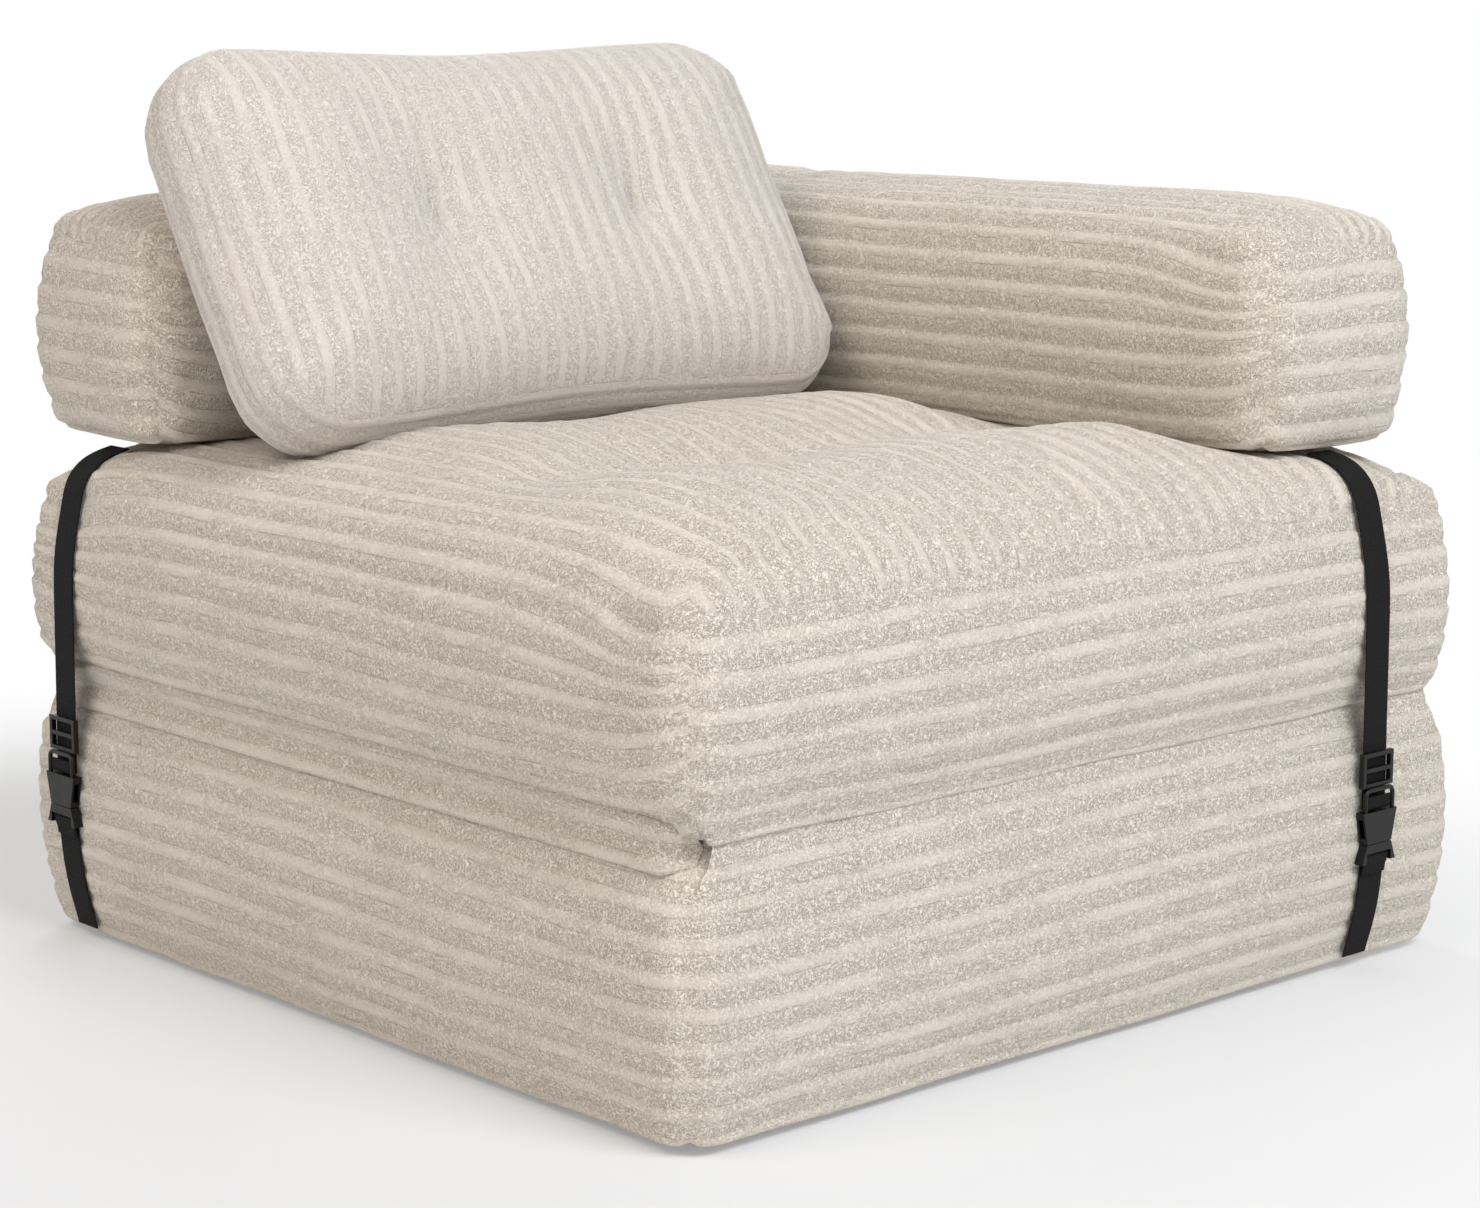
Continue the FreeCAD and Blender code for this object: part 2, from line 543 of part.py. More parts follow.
ZIP_END = "(%s - slider_length / 2 - zip_end_margin)"
for name, edge, seam in (("base", base_edge, HALF_Y), ("seat", seat_edge, HALF_Y),
                         ("bolster", bolster_edge, BOLSTER_BACK)):
    for piece in (zip_slider(name + "_zip_slider"), zip_pull(name + "_zip_pull")):
        place(piece, ZIP_END % ZIP_HALF, "%s + %s" % (seam, edge.bulge), edge.middle)
        parts.append(piece)
for piece in (zip_slider("pillow_zip_slider"), zip_pull("pillow_zip_pull")):
    place(piece, "%s + %s" % (PILLOW_MIDDLE, ZIP_END % PILLOW_ZIP_HALF),
          "%s + %s * sin(pillow_lean * 1deg)" % (PILLOW_PLACE_Y, PILLOW_ZIP),
          "%s + %s * cos(pillow_lean * 1deg)" % (PILLOW_Z, PILLOW_ZIP), ACROSS, "-pillow_lean")
    parts.append(piece)

# Straps, modelled on the front face with the seam plane at Y = 0 and outward -Y

STRAP_BACK = "(pad_side_bulge + webbing_gap)"
FOLD_IN = "(buckle_bar_radius + fold_clearance)"
FOLD_OUT = "(buckle_bar_radius + fold_clearance + webbing_thickness)"
BAR_OUT = "(%s + %s)" % (STRAP_BACK, FOLD_OUT)
NEAR, FAR = "webbing_gap", "(webbing_gap + webbing_thickness)"


def at(out, level, *arc):
    """A corner of a strap's side view, by its distance outward from the seam plane."""
    return ("-(%s)" % out, level, *arc)


def upper_webbing(label, rise, reach):
    """Webbing from its sewn end on the seat's top edge down round the socket's bar, with its tail."""
    bar = "(socket_bar_level + %s)" % rise
    tail = "%s + tail_length" % bar
    edge = seat_edge
    end = "-" + reach
    body = new_body(label)
    add_pad(body, "YZ_Plane", [
        at("%s - %s" % (BAR_OUT, FOLD_OUT), bar),
        at(STRAP_BACK, edge.middle, "right", edge.side_radius),
        at(NEAR, edge.high_seam, "right", edge.top_radius(NEAR)),
        at(end, edge.top_level_at(reach, NEAR)),
        at(end, edge.top_level_at(reach, FAR), "left", edge.top_radius(FAR)),
        at(FAR, edge.high_seam, "left", edge.side_radius),
        at("%s - %s" % (BAR_OUT, FOLD_IN), edge.middle),
        at("%s - %s" % (BAR_OUT, FOLD_IN), bar, "right", FOLD_IN),
        at(BAR_OUT, "%s - %s" % (bar, FOLD_IN), "right", FOLD_IN),
        at("%s + %s" % (BAR_OUT, FOLD_IN), bar),
        at("%s + %s" % (BAR_OUT, FOLD_IN), tail),
        at("%s + %s" % (BAR_OUT, FOLD_OUT), tail),
        at("%s + %s" % (BAR_OUT, FOLD_OUT), bar, "left", FOLD_OUT),
        at(BAR_OUT, "%s - %s" % (bar, FOLD_OUT), "left", FOLD_OUT),
    ], "webbing_width", "-webbing_width / 2")
    return body


def lower_webbing(label, rise):
    """Webbing from the plug's bar down to its sewn end under the base's bottom edge, with its tail."""
    bar = "(plug_bar_level + %s)" % rise
    tail = "%s - lower_tail_length" % bar
    edge = base_edge
    end = "-lower_end_reach"
    body = new_body(label)
    add_pad(body, "YZ_Plane", [
        at("%s - %s" % (BAR_OUT, FOLD_OUT), bar, "left", edge.side_radius),
        at(NEAR, edge.low_seam, "left", edge.bottom_radius(NEAR)),
        at(end, edge.bottom_level_at("lower_end_reach", NEAR)),
        at(end, edge.bottom_level_at("lower_end_reach", FAR), "right", edge.bottom_radius(FAR)),
        at(FAR, edge.low_seam, "right", edge.side_radius),
        at("%s - %s" % (BAR_OUT, FOLD_IN), bar, "left", FOLD_IN),
        at(BAR_OUT, "%s + %s" % (bar, FOLD_IN), "left", FOLD_IN),
        at("%s + %s" % (BAR_OUT, FOLD_IN), bar),
        at("%s + %s" % (BAR_OUT, FOLD_IN), tail),
        at("%s + %s" % (BAR_OUT, FOLD_OUT), tail),
        at("%s + %s" % (BAR_OUT, FOLD_OUT), bar, "right", FOLD_OUT),
        at(BAR_OUT, "%s + %s" % (bar, FOLD_OUT), "right", FOLD_OUT),
    ], "webbing_width", "-webbing_width / 2")
    return body


LOOP_HALF = "(webbing_width / 2 + loop_clearance)"
THROAT_NEAR = "(%s + (buckle_thickness - throat_thickness) / 2)" % STRAP_BACK
THROAT_FAR = "(%s + throat_thickness)" % THROAT_NEAR
TONGUE_NEAR = "(%s + plug_clearance)" % THROAT_NEAR
TONGUE_THICKNESS = "(throat_thickness - 2 * plug_clearance)"
SOCKET_TOP = "(socket_bar_level + buckle_bar_radius + fold_clearance)"


def across_strap(label, half_x, near, far, low, high):
    """A box centred on the strap, from near to far outward."""
    return new_box(label, ("-(%s)" % half_x, "-(%s)" % far, low), (half_x, "-(%s)" % near, high))


def front_outline(label, corners, near, thickness):
    """A body whose front view is given, from near outward; a sketch on XZ_Plane faces -Y."""
    body = new_body(label)
    add_pad(body, "XZ_Plane", corners, thickness, near)
    return body


def loop_bar(label, level):
    """The bar that webbing folds round, let into the ears on both sides."""
    half = "%s + buckle_bar_radius" % LOOP_HALF
    return new_cylinder_across(label, "-(%s)" % half, half, "-" + BAR_OUT, level, "buckle_bar_radius")


def adjuster(label, rise):
    """Three-bar slide: a frame round the webbing with three bars in front of its back layer."""
    outer = "(%s + adjuster_rail)" % LOOP_HALF
    low = "(%s + rest_gap + %s)" % (SOCKET_TOP, rise)
    high = "(%s + adjuster_height)" % low
    near = "(%s + rest_gap)" % STRAP_BACK
    bars = "(%s + webbing_thickness + fold_clearance)" % STRAP_BACK
    frame = front_outline(label + "_frame", rectangle("-" + outer, outer, low, high), near,
                          "adjuster_thickness")
    pane = "(adjuster_height - 3 * adjuster_bar) / 2"
    cuts = [across_strap(label + "_channel", LOOP_HALF, "0", bars, "%s - cut_margin" % low,
                         "%s + cut_margin" % high)]
    for number in range(2):
        sill = "(%s + adjuster_bar + %d * (%s + adjuster_bar))" % (low, number, pane)
        cuts.append(across_strap("%s_pane_%d" % (label, number + 1), LOOP_HALF, "0",
                                 "%s + 2 * adjuster_thickness" % near, sill, "%s + %s" % (sill, pane)))
    return combine("Cut", label, frame, fuse_all(label + "_cuts", cuts))


def socket(label, rise):
    """Female half of the buckle: tapered body with a throat and side windows, and a bar between ears."""
    mouth, shoulder = "(socket_body_bottom + %s)" % rise, "(socket_body_top + %s)" % rise
    top = "(%s + %s)" % (SOCKET_TOP, rise)
    right = [("socket_mouth_width / 2", mouth), ("socket_shoulder_width / 2", shoulder),
             ("socket_head_width / 2", top), (LOOP_HALF, top), (LOOP_HALF, shoulder)]
    left = [("-" + x, z) for x, z in reversed(right)]
    shell = fuse_all(label + "_shell", [
        front_outline(label + "_blank", right + left, STRAP_BACK, "buckle_thickness"),
        loop_bar(label + "_bar", "socket_bar_level + %s" % rise),
    ])
    hollows = fuse_all(label + "_hollows", [
        across_strap(label + "_throat", "throat_width / 2", THROAT_NEAR, THROAT_FAR,
                     "%s - cut_margin" % mouth, "%s - throat_roof" % shoulder),
        across_strap(label + "_windows", "socket_shoulder_width", THROAT_NEAR, THROAT_FAR,
                     "side_window_low + %s" % rise, "side_window_high + %s" % rise),
    ])
    return combine("Cut", label, shell, hollows)


def plug(label, rise):
    """Male half of the buckle: flared base with a webbing bar between ears, and a centre guide."""
    low, high = "(plug_base_bottom + %s)" % rise, "(plug_base_top + %s)" % rise
    arch = "(plug_bar_level + %s + fold_clearance + %s)" % (FOLD_OUT, rise)
    right = [(LOOP_HALF, arch), (LOOP_HALF, low), ("plug_base_width / 2", low),
             ("socket_mouth_width / 2", high)]
    left = [("-" + x, z) for x, z in reversed(right)]
    return fuse_all(label, [
        front_outline(label + "_base", right + left, STRAP_BACK, "buckle_thickness"),
        loop_bar(label + "_bar", "plug_bar_level + %s" % rise),
        across_strap(label + "_guide", "guide_width / 2", TONGUE_NEAR,
                     "%s + %s" % (TONGUE_NEAR, TONGUE_THICKNESS), high, "%s + latch_length" % high),
    ])


def latch_arm(label, side, rise):
    """Sprung side arm of the plug, with a pad towards its tip; side is a sign."""
    low = "(plug_base_top + plug_clearance + %s)" % rise
    inner, outer = "(latch_offset - latch_width / 2)", "(latch_offset + latch_width / 2)"
    pad = "(throat_width / 2 - plug_clearance)"
    waist = "(%s + latch_length / 3)" % low
    tip = "(%s + latch_length)" % low
    corners = [(inner, low), (outer, low), (outer, waist), (pad, "%s + latch_width" % waist),
               (pad, "%s - latch_width" % tip), (outer, tip), (inner, tip)]
    if side == "-":
        corners = [("-" + x, z) for x, z in reversed(corners)]
    return front_outline(label, corners, TONGUE_NEAR, TONGUE_THICKNESS)


UPRIGHT = FreeCAD.Vector(0, 0, 1)
STRAPS = (
    ("front", ("pad_width / 2 - front_strap_inset", "-pad_depth / 2", "0"), "0"),
    ("left", ("-pad_width / 2", "pad_depth / 2 - left_strap_inset", "0"), "-90"),
)
for name, spot, turn in STRAPS:
    rise = name + "_strap_rise"
    pieces = [upper_webbing(name + "_upper_webbing", rise, name + "_end_reach"),
              adjuster(name + "_adjuster", rise),
              socket(name + "_socket", rise), plug(name + "_plug", rise),
              latch_arm(name + "_latch_arm_a", "", rise), latch_arm(name + "_latch_arm_b", "-", rise),
              lower_webbing(name + "_lower_webbing", rise)]
    for piece in pieces:
        place(piece, *spot, UPRIGHT, turn)
    parts += pieces

# Checks, then one STEP file for each sub-part

doc.recompute()
for item in doc.Objects:
    faults = [state for state in item.State if state in ("Invalid", "Error")]
    if faults:
        raise RuntimeError("%s is %s" % (item.Label, faults))
os.makedirs("parts", exist_ok=True)
for part in parts:
    if part.Shape.isNull() or not part.Shape.isValid():
        raise RuntimeError("%s has no valid shape" % part.Label)
for part in parts:
    part.Shape.exportStep("parts/%s.step" % part.Label)
    box = part.Shape.BoundBox
    print("%-22s solids %d volume %.0f  x %.1f..%.1f y %.1f..%.1f z %.1f..%.1f" % (
        part.Label, len(part.Shape.Solids), part.Shape.Volume, box.XMin, box.XMax, box.YMin, box.YMax,
        box.ZMin, box.ZMax))
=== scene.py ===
import math
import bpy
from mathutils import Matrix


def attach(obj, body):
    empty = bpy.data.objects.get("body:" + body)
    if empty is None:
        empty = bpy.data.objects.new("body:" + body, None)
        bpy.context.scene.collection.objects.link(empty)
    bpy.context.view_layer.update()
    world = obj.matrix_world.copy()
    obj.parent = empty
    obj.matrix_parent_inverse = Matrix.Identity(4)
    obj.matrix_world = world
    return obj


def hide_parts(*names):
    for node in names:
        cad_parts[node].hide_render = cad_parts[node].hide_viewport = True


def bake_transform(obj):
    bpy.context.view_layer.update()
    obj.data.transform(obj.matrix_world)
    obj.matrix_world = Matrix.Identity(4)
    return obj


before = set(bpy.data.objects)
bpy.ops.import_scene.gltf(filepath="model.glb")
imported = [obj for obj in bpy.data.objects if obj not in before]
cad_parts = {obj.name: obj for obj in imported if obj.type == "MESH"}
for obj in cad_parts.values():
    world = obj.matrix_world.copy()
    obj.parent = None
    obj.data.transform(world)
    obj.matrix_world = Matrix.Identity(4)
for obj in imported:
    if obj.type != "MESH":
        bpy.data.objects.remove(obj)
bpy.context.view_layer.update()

from types import SimpleNamespace

import bmesh
import bpy
import numpy as np
from mathutils import Euler, Matrix, Vector
from mathutils.kdtree import KDTree

scene = bpy.context.scene
scene.view_settings.view_transform = "Standard"


# Materials

WHITE = (1.0, 1.0, 1.0, 1.0)


def shade(red, green, blue):
    """A linear colour from screen values of 0 to 255."""
    def linear(value):
        value /= 255.0
        return value / 12.92 if value <= 0.04045 else ((value + 0.055) / 1.055) ** 2.4
    return (linear(red), linear(green), linear(blue), 1.0)


class Nodes:
    """Short ways to add and join the nodes of a tree."""

    def __init__(self, tree):
        self.tree = tree

    def add(self, kind, **settings):
        node = self.tree.nodes.new("ShaderNode" + kind)
        for setting, value in settings.items():
            setattr(node, setting, value)
        return node

    def put(self, value, socket):
        if hasattr(value, "is_linked"):
            self.tree.links.new(value, socket)
        else:
            socket.default_value = value

    def fill(self, node, **sockets):
        for socket, value in sockets.items():
            self.put(value, node.inputs[socket.replace("_", " ")])
        return node

    def join(self, kind, *values, **settings):
        """The first output of a new node, with its first inputs given."""
        node = self.add(kind, **settings)
        for value, socket in zip(values, node.inputs):
            self.put(value, socket)
        return node.outputs[0]

    def math(self, operation, *values):
        return self.join("Math", *values, operation=operation)

    def off(self, value, middle):
        """How far a value is from a middle one."""
        return self.math("ABSOLUTE", self.math("SUBTRACT", value, middle))

    def spread(self, value, low, high, new_low=0.0, new_high=1.0):
        """A value eased from new_low at low to new_high at high."""
        return self.join("MapRange", value, low, high, new_low, new_high, interpolation_type="SMOOTHSTEP")

    def noise(self, vector, scale, detail=2.0, roughness=0.5, distortion=0.0):
        node = self.fill(self.add("TexNoise"), Vector=vector, Scale=scale, Detail=detail,
                         Roughness=roughness, Distortion=distortion)
        return node.outputs["Fac"]

    def cells(self, vector, scale):
        return self.fill(self.add("TexVoronoi"), Vector=vector, Scale=scale).outputs["Distance"]

    def mix(self, factor, first, second):
        node = self.add("Mix", data_type="RGBA")
        for value, number in ((factor, 0), (first, 6), (second, 7)):
            self.put(value, node.inputs[number])
        return node.outputs[2]

    def bump(self, height, distance):
        return self.fill(self.add("Bump"), Height=height, Distance=distance).outputs["Normal"]

    def place(self):
        return self.add("TexCoord").outputs["Object"]

    def flat(self):
        """Where a point lies on its cloth: along it and across it."""
        split = self.add("SeparateXYZ")
        self.put(self.add("UVMap", uv_map="fabric").outputs["UV"], split.inputs[0])
        return split.outputs["X"], split.outputs["Y"]

    def seen(self):
        """1 for rays that show a thing, and 0 for those that only carry its light."""
        paths = self.add("LightPath")
        seen = paths.outputs["Is Camera Ray"]
        for ray in ("Is Glossy Ray", "Is Transmission Ray"):
            seen = self.math("MAXIMUM", seen, paths.outputs[ray])
        return seen


class Shader(Nodes):
    """A procedural material, made on the surface node it starts with."""

    def __init__(self, name, **sockets):
        self.material = bpy.data.materials.new(name)
        self.material.use_nodes = True
        super().__init__(self.material.node_tree)
        self.surface = self.fill(self.tree.nodes["Principled BSDF"], **sockets)

    def finish(self, **sockets):
        self.fill(self.surface, **sockets)
        return self.material


RIB_PITCH = 0.027
RIB_HEIGHT = 0.0029
RIB_START = 0.76
RIB_SWAY = 0.16
RIDGE_AT = 0.24
RIDGE_FADE = 0.40
# The broken dark line is painted shade of the grooves between ribs; it lies at each groove and again
# mid-band.
GROOVE_SHADE_OFF = 0.24
GROOVE_SHADE_FADE = (0.045, 0.005)
GROOVE_SHADE_STRENGTH = 0.36
PAINTED_GROOVE_SHADE = shade(160, 143, 120)
CURL_WIDTH = 0.13
CURL_BUMP = 0.0007


def sherpa_cloth(name, grain, pale, dull, light_curl, dark_curl):
    """Cream cloth in soft ribs: a smooth raised ridge, then a wider curly band, with a broken dark line of
    painted shade where the grooves between ribs fall.
    """
    cloth = Shader(name, Roughness=0.92, Sheen_Weight=0.3, Sheen_Roughness=0.6)
    _, across = cloth.flat()
    place = cloth.place()
    sway = cloth.math("MULTIPLY", cloth.math("SUBTRACT", cloth.noise(place, scale=7.0), 0.5), RIB_SWAY)
    turn = cloth.math("DIVIDE", cloth.math("ABSOLUTE", across), RIB_PITCH)
    phase = cloth.math("FRACT", cloth.math("ADD", cloth.math("ADD", turn, RIB_START), sway))
    ridge_far = cloth.off(phase, RIDGE_AT)
    uneven = cloth.spread(cloth.noise(place, scale=13.0, detail=3.0), 0.35, 0.65, new_low=0.3, new_high=0.8)
    ridge = cloth.math("MULTIPLY", cloth.spread(ridge_far, RIDGE_FADE, 0.0), uneven)
    groove_shade_breaks = cloth.spread(cloth.noise(place, scale=26.0, detail=4.0, roughness=0.6), low=0.42, high=0.62)
    # Mask of the painted groove shade, broken up by noise.
    line = cloth.math("MULTIPLY", cloth.spread(cloth.off(ridge_far, GROOVE_SHADE_OFF), *GROOVE_SHADE_FADE), groove_shade_breaks)

    def curl(scale):
        far = cloth.off(cloth.noise(place, scale, detail=1.0, distortion=0.8), 0.5)
        return cloth.spread(far, CURL_WIDTH, 0.0)

    curls = cloth.math("MAXIMUM", curl(380.0), cloth.math("MULTIPLY", curl(680.0), 0.9))
    smooth = cloth.mix(cloth.noise(place, scale=11.0, detail=3.0), dull, pale)
    body = cloth.mix(ridge, cloth.mix(curls, dark_curl, light_curl), smooth)
    # Darken the cloth along that mask: painted groove shade.
    body = cloth.mix(cloth.math("MULTIPLY", line, GROOVE_SHADE_STRENGTH * grain), body, PAINTED_GROOVE_SHADE)
    rough = cloth.math("SUBTRACT", 1.0, cloth.math("MULTIPLY", ridge, 0.8))
    height = cloth.math("SUBTRACT", cloth.math("MULTIPLY", curls, rough), cloth.math("MULTIPLY", line, 0.8))
    return cloth.finish(Base_Color=body, Normal=cloth.bump(height, CURL_BUMP * grain))


CORD_PITCH = 0.0017
STRAND_PITCH = 0.0024


def woven_band():
    """Black webbing: fine cords across it, over strands that run along it."""
    band = Shader("woven_band", Roughness=0.75, Specular_IOR_Level=0.18)
    along, across = band.flat()
    cords = band.math("SINE", band.math("MULTIPLY", along, 2 * math.pi / CORD_PITCH))
    strands = band.math("SINE", band.math("MULTIPLY", across, 2 * math.pi / STRAND_PITCH))
    weave = band.math("MULTIPLY", cords, band.math("ADD", band.math("MULTIPLY", strands, 0.5), 0.7))
    dust = band.noise(band.place(), scale=260.0, detail=3.0)
    colour = band.mix(dust, shade(14, 13, 13), shade(27, 25, 25))
    colour = band.mix(band.spread(weave, -0.9, 0.9), shade(9, 8, 8), colour)
    return band.finish(Base_Color=colour, Normal=band.bump(weave, 0.0004))


def moulded(name, low, high, roughness, specular):
    """Moulded plastic with a faint sparked grain."""
    plastic = Shader(name, Specular_IOR_Level=specular)
    place = plastic.place()
    haze = plastic.noise(place, scale=60.0, detail=3.0)
    varied = plastic.spread(haze, 0.2, 0.8, roughness - 0.08, roughness + 0.08)
    grain = plastic.bump(plastic.noise(place, scale=900.0), 0.00015)
    return plastic.finish(Base_Color=plastic.mix(haze, low, high), Roughness=varied, Normal=grain)


def plain_weave(name, low, high, scale, depth):
    """A close plain weave for tapes, thread and the underside."""
    weave = Shader(name, Roughness=0.85, Sheen_Weight=0.1)
    place = weave.place()
    knots = weave.cells(place, scale)
    colour = weave.mix(weave.noise(place, scale=40.0, detail=3.0), low, high)
    colour = weave.mix(weave.spread(knots, 0.2, 0.9), colour, low)
    return weave.finish(Base_Color=colour, Normal=weave.bump(knots, depth))


def cast_metal():
    """Satin zinc with fine brushing."""
    metal = Shader("cast_metal", Metallic=1.0)
    place = metal.place()
    brush = metal.noise(place, scale=700.0)
    haze = metal.noise(place, scale=90.0, detail=3.0)
    return metal.finish(Base_Color=metal.mix(haze, shade(150, 146, 140), shade(186, 182, 176)),
                        Roughness=metal.spread(brush, 0.2, 0.8, new_low=0.28, new_high=0.42),
                        Normal=metal.bump(brush, 0.00008))


MATERIALS = {
    "cover": sherpa_cloth("sherpa_cloth", grain=1.0, pale=shade(221, 213, 202), dull=shade(213, 204, 191),
                          light_curl=shade(237, 230, 218), dark_curl=shade(182, 169, 148)),
    "pillow_cover": sherpa_cloth("fine_sherpa_cloth", grain=0.7, pale=shade(219, 213, 206),
                                 dull=shade(213, 206, 197), light_curl=shade(228, 222, 214),
                                 dark_curl=shade(199, 190, 178)),
    "webbing": woven_band(),
    "buckle": moulded("moulded_black", shade(7, 7, 7), shade(14, 13, 13), roughness=0.36, specular=0.3),
    "zip_tape": plain_weave("zip_weave", shade(196, 186, 170), shade(214, 206, 193),
                            scale=1500.0, depth=0.0003),
    "zip_teeth": moulded("zip_teeth", shade(205, 197, 183), shade(220, 213, 201),
                         roughness=0.45, specular=0.45),
    "zip_metal": cast_metal(),
    "thread": plain_weave("sewing_thread", shade(188, 177, 160), shade(212, 203, 190),
                          scale=1800.0, depth=0.0003),
    "underside": plain_weave("grip_cloth", shade(40, 40, 42), shade(62, 61, 62), scale=260.0, depth=0.0009),
}


# Lines, grids and pieces

TINY = 1e-9


def ease(low, high, value):
    """A smooth step from 0 at low to 1 at high."""
    share = np.clip((value - low) / (high - low), 0.0, 1.0)
    return share * share * (3.0 - 2.0 * share)


def hill(value, rise, fall):
    """1 between a rise and a fall, and eased to 0 outside them."""
    return ease(*rise, value) * (1.0 - ease(*fall, value))


def spaced(low, high, step):
    """Even values from low to high, about a step apart."""
    return np.linspace(low, high, int(round((high - low) / step)) + 1)


def travel(points):
    """Distance run along a line of points, from its first."""
    steps = np.linalg.norm(np.diff(points, axis=0), axis=1)
    return np.concatenate([[0.0], np.cumsum(steps)])


def grid_quads(index):
    """The faces of a grid, from the numbers of its points."""
    corners = [index[:-1, :-1], index[1:, :-1], index[1:, 1:], index[:-1, 1:]]
    return np.stack(corners, axis=-1).reshape(-1, 4)


def rows_of(items, name, width=3):
    """One value of every item, a row each."""
    values = np.zeros(len(items) * width, np.float32)
    items.foreach_get(name, values)
    return values.reshape(-1, width)


def fabric_mesh(name, points, faces, flats):
    """A mesh that knows where each of its points lies on the flat cloth."""
    mesh = bpy.data.meshes.new(name)
    mesh.from_pydata(points.tolist(), [], faces)
    corners = np.zeros(len(mesh.loops), np.int32)
    mesh.loops.foreach_get("vertex_index", corners)
    layer = mesh.uv_layers.new(name="fabric")
    layer.data.foreach_set("uv", flats[corners].astype(np.float32).ravel())
    return mesh


def mesh_of(work, name):
    mesh = bpy.data.meshes.new(name)
    work.to_mesh(mesh)
    work.free()
    return mesh


def link(name, mesh, finish):
    """A new piece in one of the finishes."""
    piece = bpy.data.objects.new(name, mesh)
    scene.collection.objects.link(piece)
    mesh.materials.append(MATERIALS[finish])
    return piece


def settle(piece, body, slot, *nodes):
    """Attach a piece to the body it rides, and hide the nodes it stands for. The slot is not used."""
    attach(piece, body)
    if nodes:
        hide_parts(*nodes)


# Cushion forms

HIP_SHARE = 0.30
HIP_WIDTH = 0.08
EDGE_NEAR = 0.09
CORNER_FADE = 3.0
LEAST_TURN = 1e-6


def soften(w, s, z, box):
    """Round a box's surface points: its edges rolled, its upright corners turned, its sides swelled."""
    from_w = np.maximum(box.half_w - np.abs(w), 0.0)
    from_s = np.maximum(box.half_s - np.abs(s), 0.0)
    hip = HIP_SHARE * np.exp(-((from_w - from_s) / HIP_WIDTH) ** 2)
    inset = 0.5 * (from_w + from_s - np.sqrt((from_w - from_s) ** 2 + 4.0 * hip * from_w * from_s))
    upper = z > 0.5 * (box.low + box.high)
    radius = np.where(upper, box.top_round, box.low_round)
    depth = np.where(upper, box.high - z, z - box.low)
    edge = inset - depth
    angle = np.clip((edge + radius) / (2.0 * radius), 0.0, 1.0) * (0.5 * np.pi)
    rolled = np.where(edge > radius, inset, radius * (1.0 - np.cos(angle)))
    sunk = np.where(edge < -radius, depth, radius * (1.0 - np.sin(angle)))
    z = np.where(upper, box.high - sunk, box.low + sunk)

    shift = inset - rolled
    near_w = np.clip((np.abs(w) - (box.half_w - inset - EDGE_NEAR)) / EDGE_NEAR, 0.0, 1.0)
    near_s = np.clip((np.abs(s) - (box.half_s - inset - EDGE_NEAR)) / EDGE_NEAR, 0.0, 1.0)
    wide = np.abs(w) + shift * near_w ** 2
    deep = np.abs(s) + shift * near_s ** 2

    fade = 1.0 - ease(radius, CORNER_FADE * radius, rolled)
    turn = (box.corner + box.corner_grow * rolled) * fade + LEAST_TURN
    core_w = box.half_w - rolled - turn
    core_s = box.half_s - rolled - turn
    over_w = np.maximum(wide - core_w, 0.0)
    over_s = np.maximum(deep - core_s, 0.0)
    over_w, over_s = (over_w * np.sqrt(1.0 - 0.5 * np.minimum(over_s / turn, 1.0) ** 2),
                      over_s * np.sqrt(1.0 - 0.5 * np.minimum(over_w / turn, 1.0) ** 2))

    middle = 0.5 * (box.low + box.low_round + box.high - box.top_round)
    span = 0.5 * (box.high - box.top_round - box.low - box.low_round)
    swelled = np.clip(1.0 - ((z - middle) / span) ** 2, 0.0, 1.0) / turn
    left, right, front, back = box.bulge
    wide = np.minimum(wide, core_w) + over_w * (1.0 + swelled * np.where(w < 0, left, right))
    deep = np.minimum(deep, core_s) + over_s * (1.0 + swelled * np.where(s < 0, front, back))
    return np.stack([np.sign(w) * wide, np.sign(s) * deep, z + 0.0 * wide], axis=-1)


BAND_RISE = (0.0, 0.24)
BAND_FALL = (0.74, 1.0)
BAND_SHARE = 0.66
RIDGE_SHARE = 0.34
RIDGE_WIDTH = 0.19
SEAM_SINK = 0.0038
SEAM_FADE = 0.011
RIM_KEEP = 0.006
CORNER_SWEEP = 0.10
CORNER_BEND = 0.04
CORNER_HOLD = 0.09
BROAD_CRUMPLE = 0.0010
CLOSE_CRUMPLE = 0.0006
PLACKET = 0.007
ZIP_HOLD = 0.022
WELD = 0.0002


def ribbed(across, seam_far):
    """Height of the ribbed cloth over its form, sunk to nothing along the seams."""
    phase = np.mod(np.abs(across) / RIB_PITCH + RIB_START, 1.0)
    ridge = np.exp(-((phase - RIDGE_AT) / RIDGE_WIDTH) ** 2)
    rib = RIB_HEIGHT * (BAND_SHARE * hill(phase, BAND_RISE, BAND_FALL) + RIDGE_SHARE * ridge - 1.0)
    return -SEAM_SINK + (rib + SEAM_SINK) * ease(0.0, SEAM_FADE, seam_far)


def corner_ribs(side, end, seam_run):
    """Rib offset round a top corner, with no kink at its edges.

    side and end run out over the side's and the end's edges, and are negative on the top."""
    if seam_run <= 0.0:
        return side

    def past(run):
        eased = CORNER_BEND * np.exp(np.minimum(run, 0.0) / CORNER_BEND)
        return np.where(run < 0.0, eased, run + CORNER_BEND)

    def near(run):
        return np.exp(-(np.minimum(run, 0.0) / CORNER_SWEEP) ** 2)

    held = 1.0 - ease(seam_run, seam_run + CORNER_HOLD, side)
    return side + 0.5 * (past(end) * near(side) - past(side) * near(end) * held)


def wander(along, across):
    """Slight sideways drift of the ribs along their length."""
    return 0.0015 * np.sin(8.0 * along + 17.0 * across + 0.7) + 0.0005 * np.sin(29.0 * along - 22.0 * across)


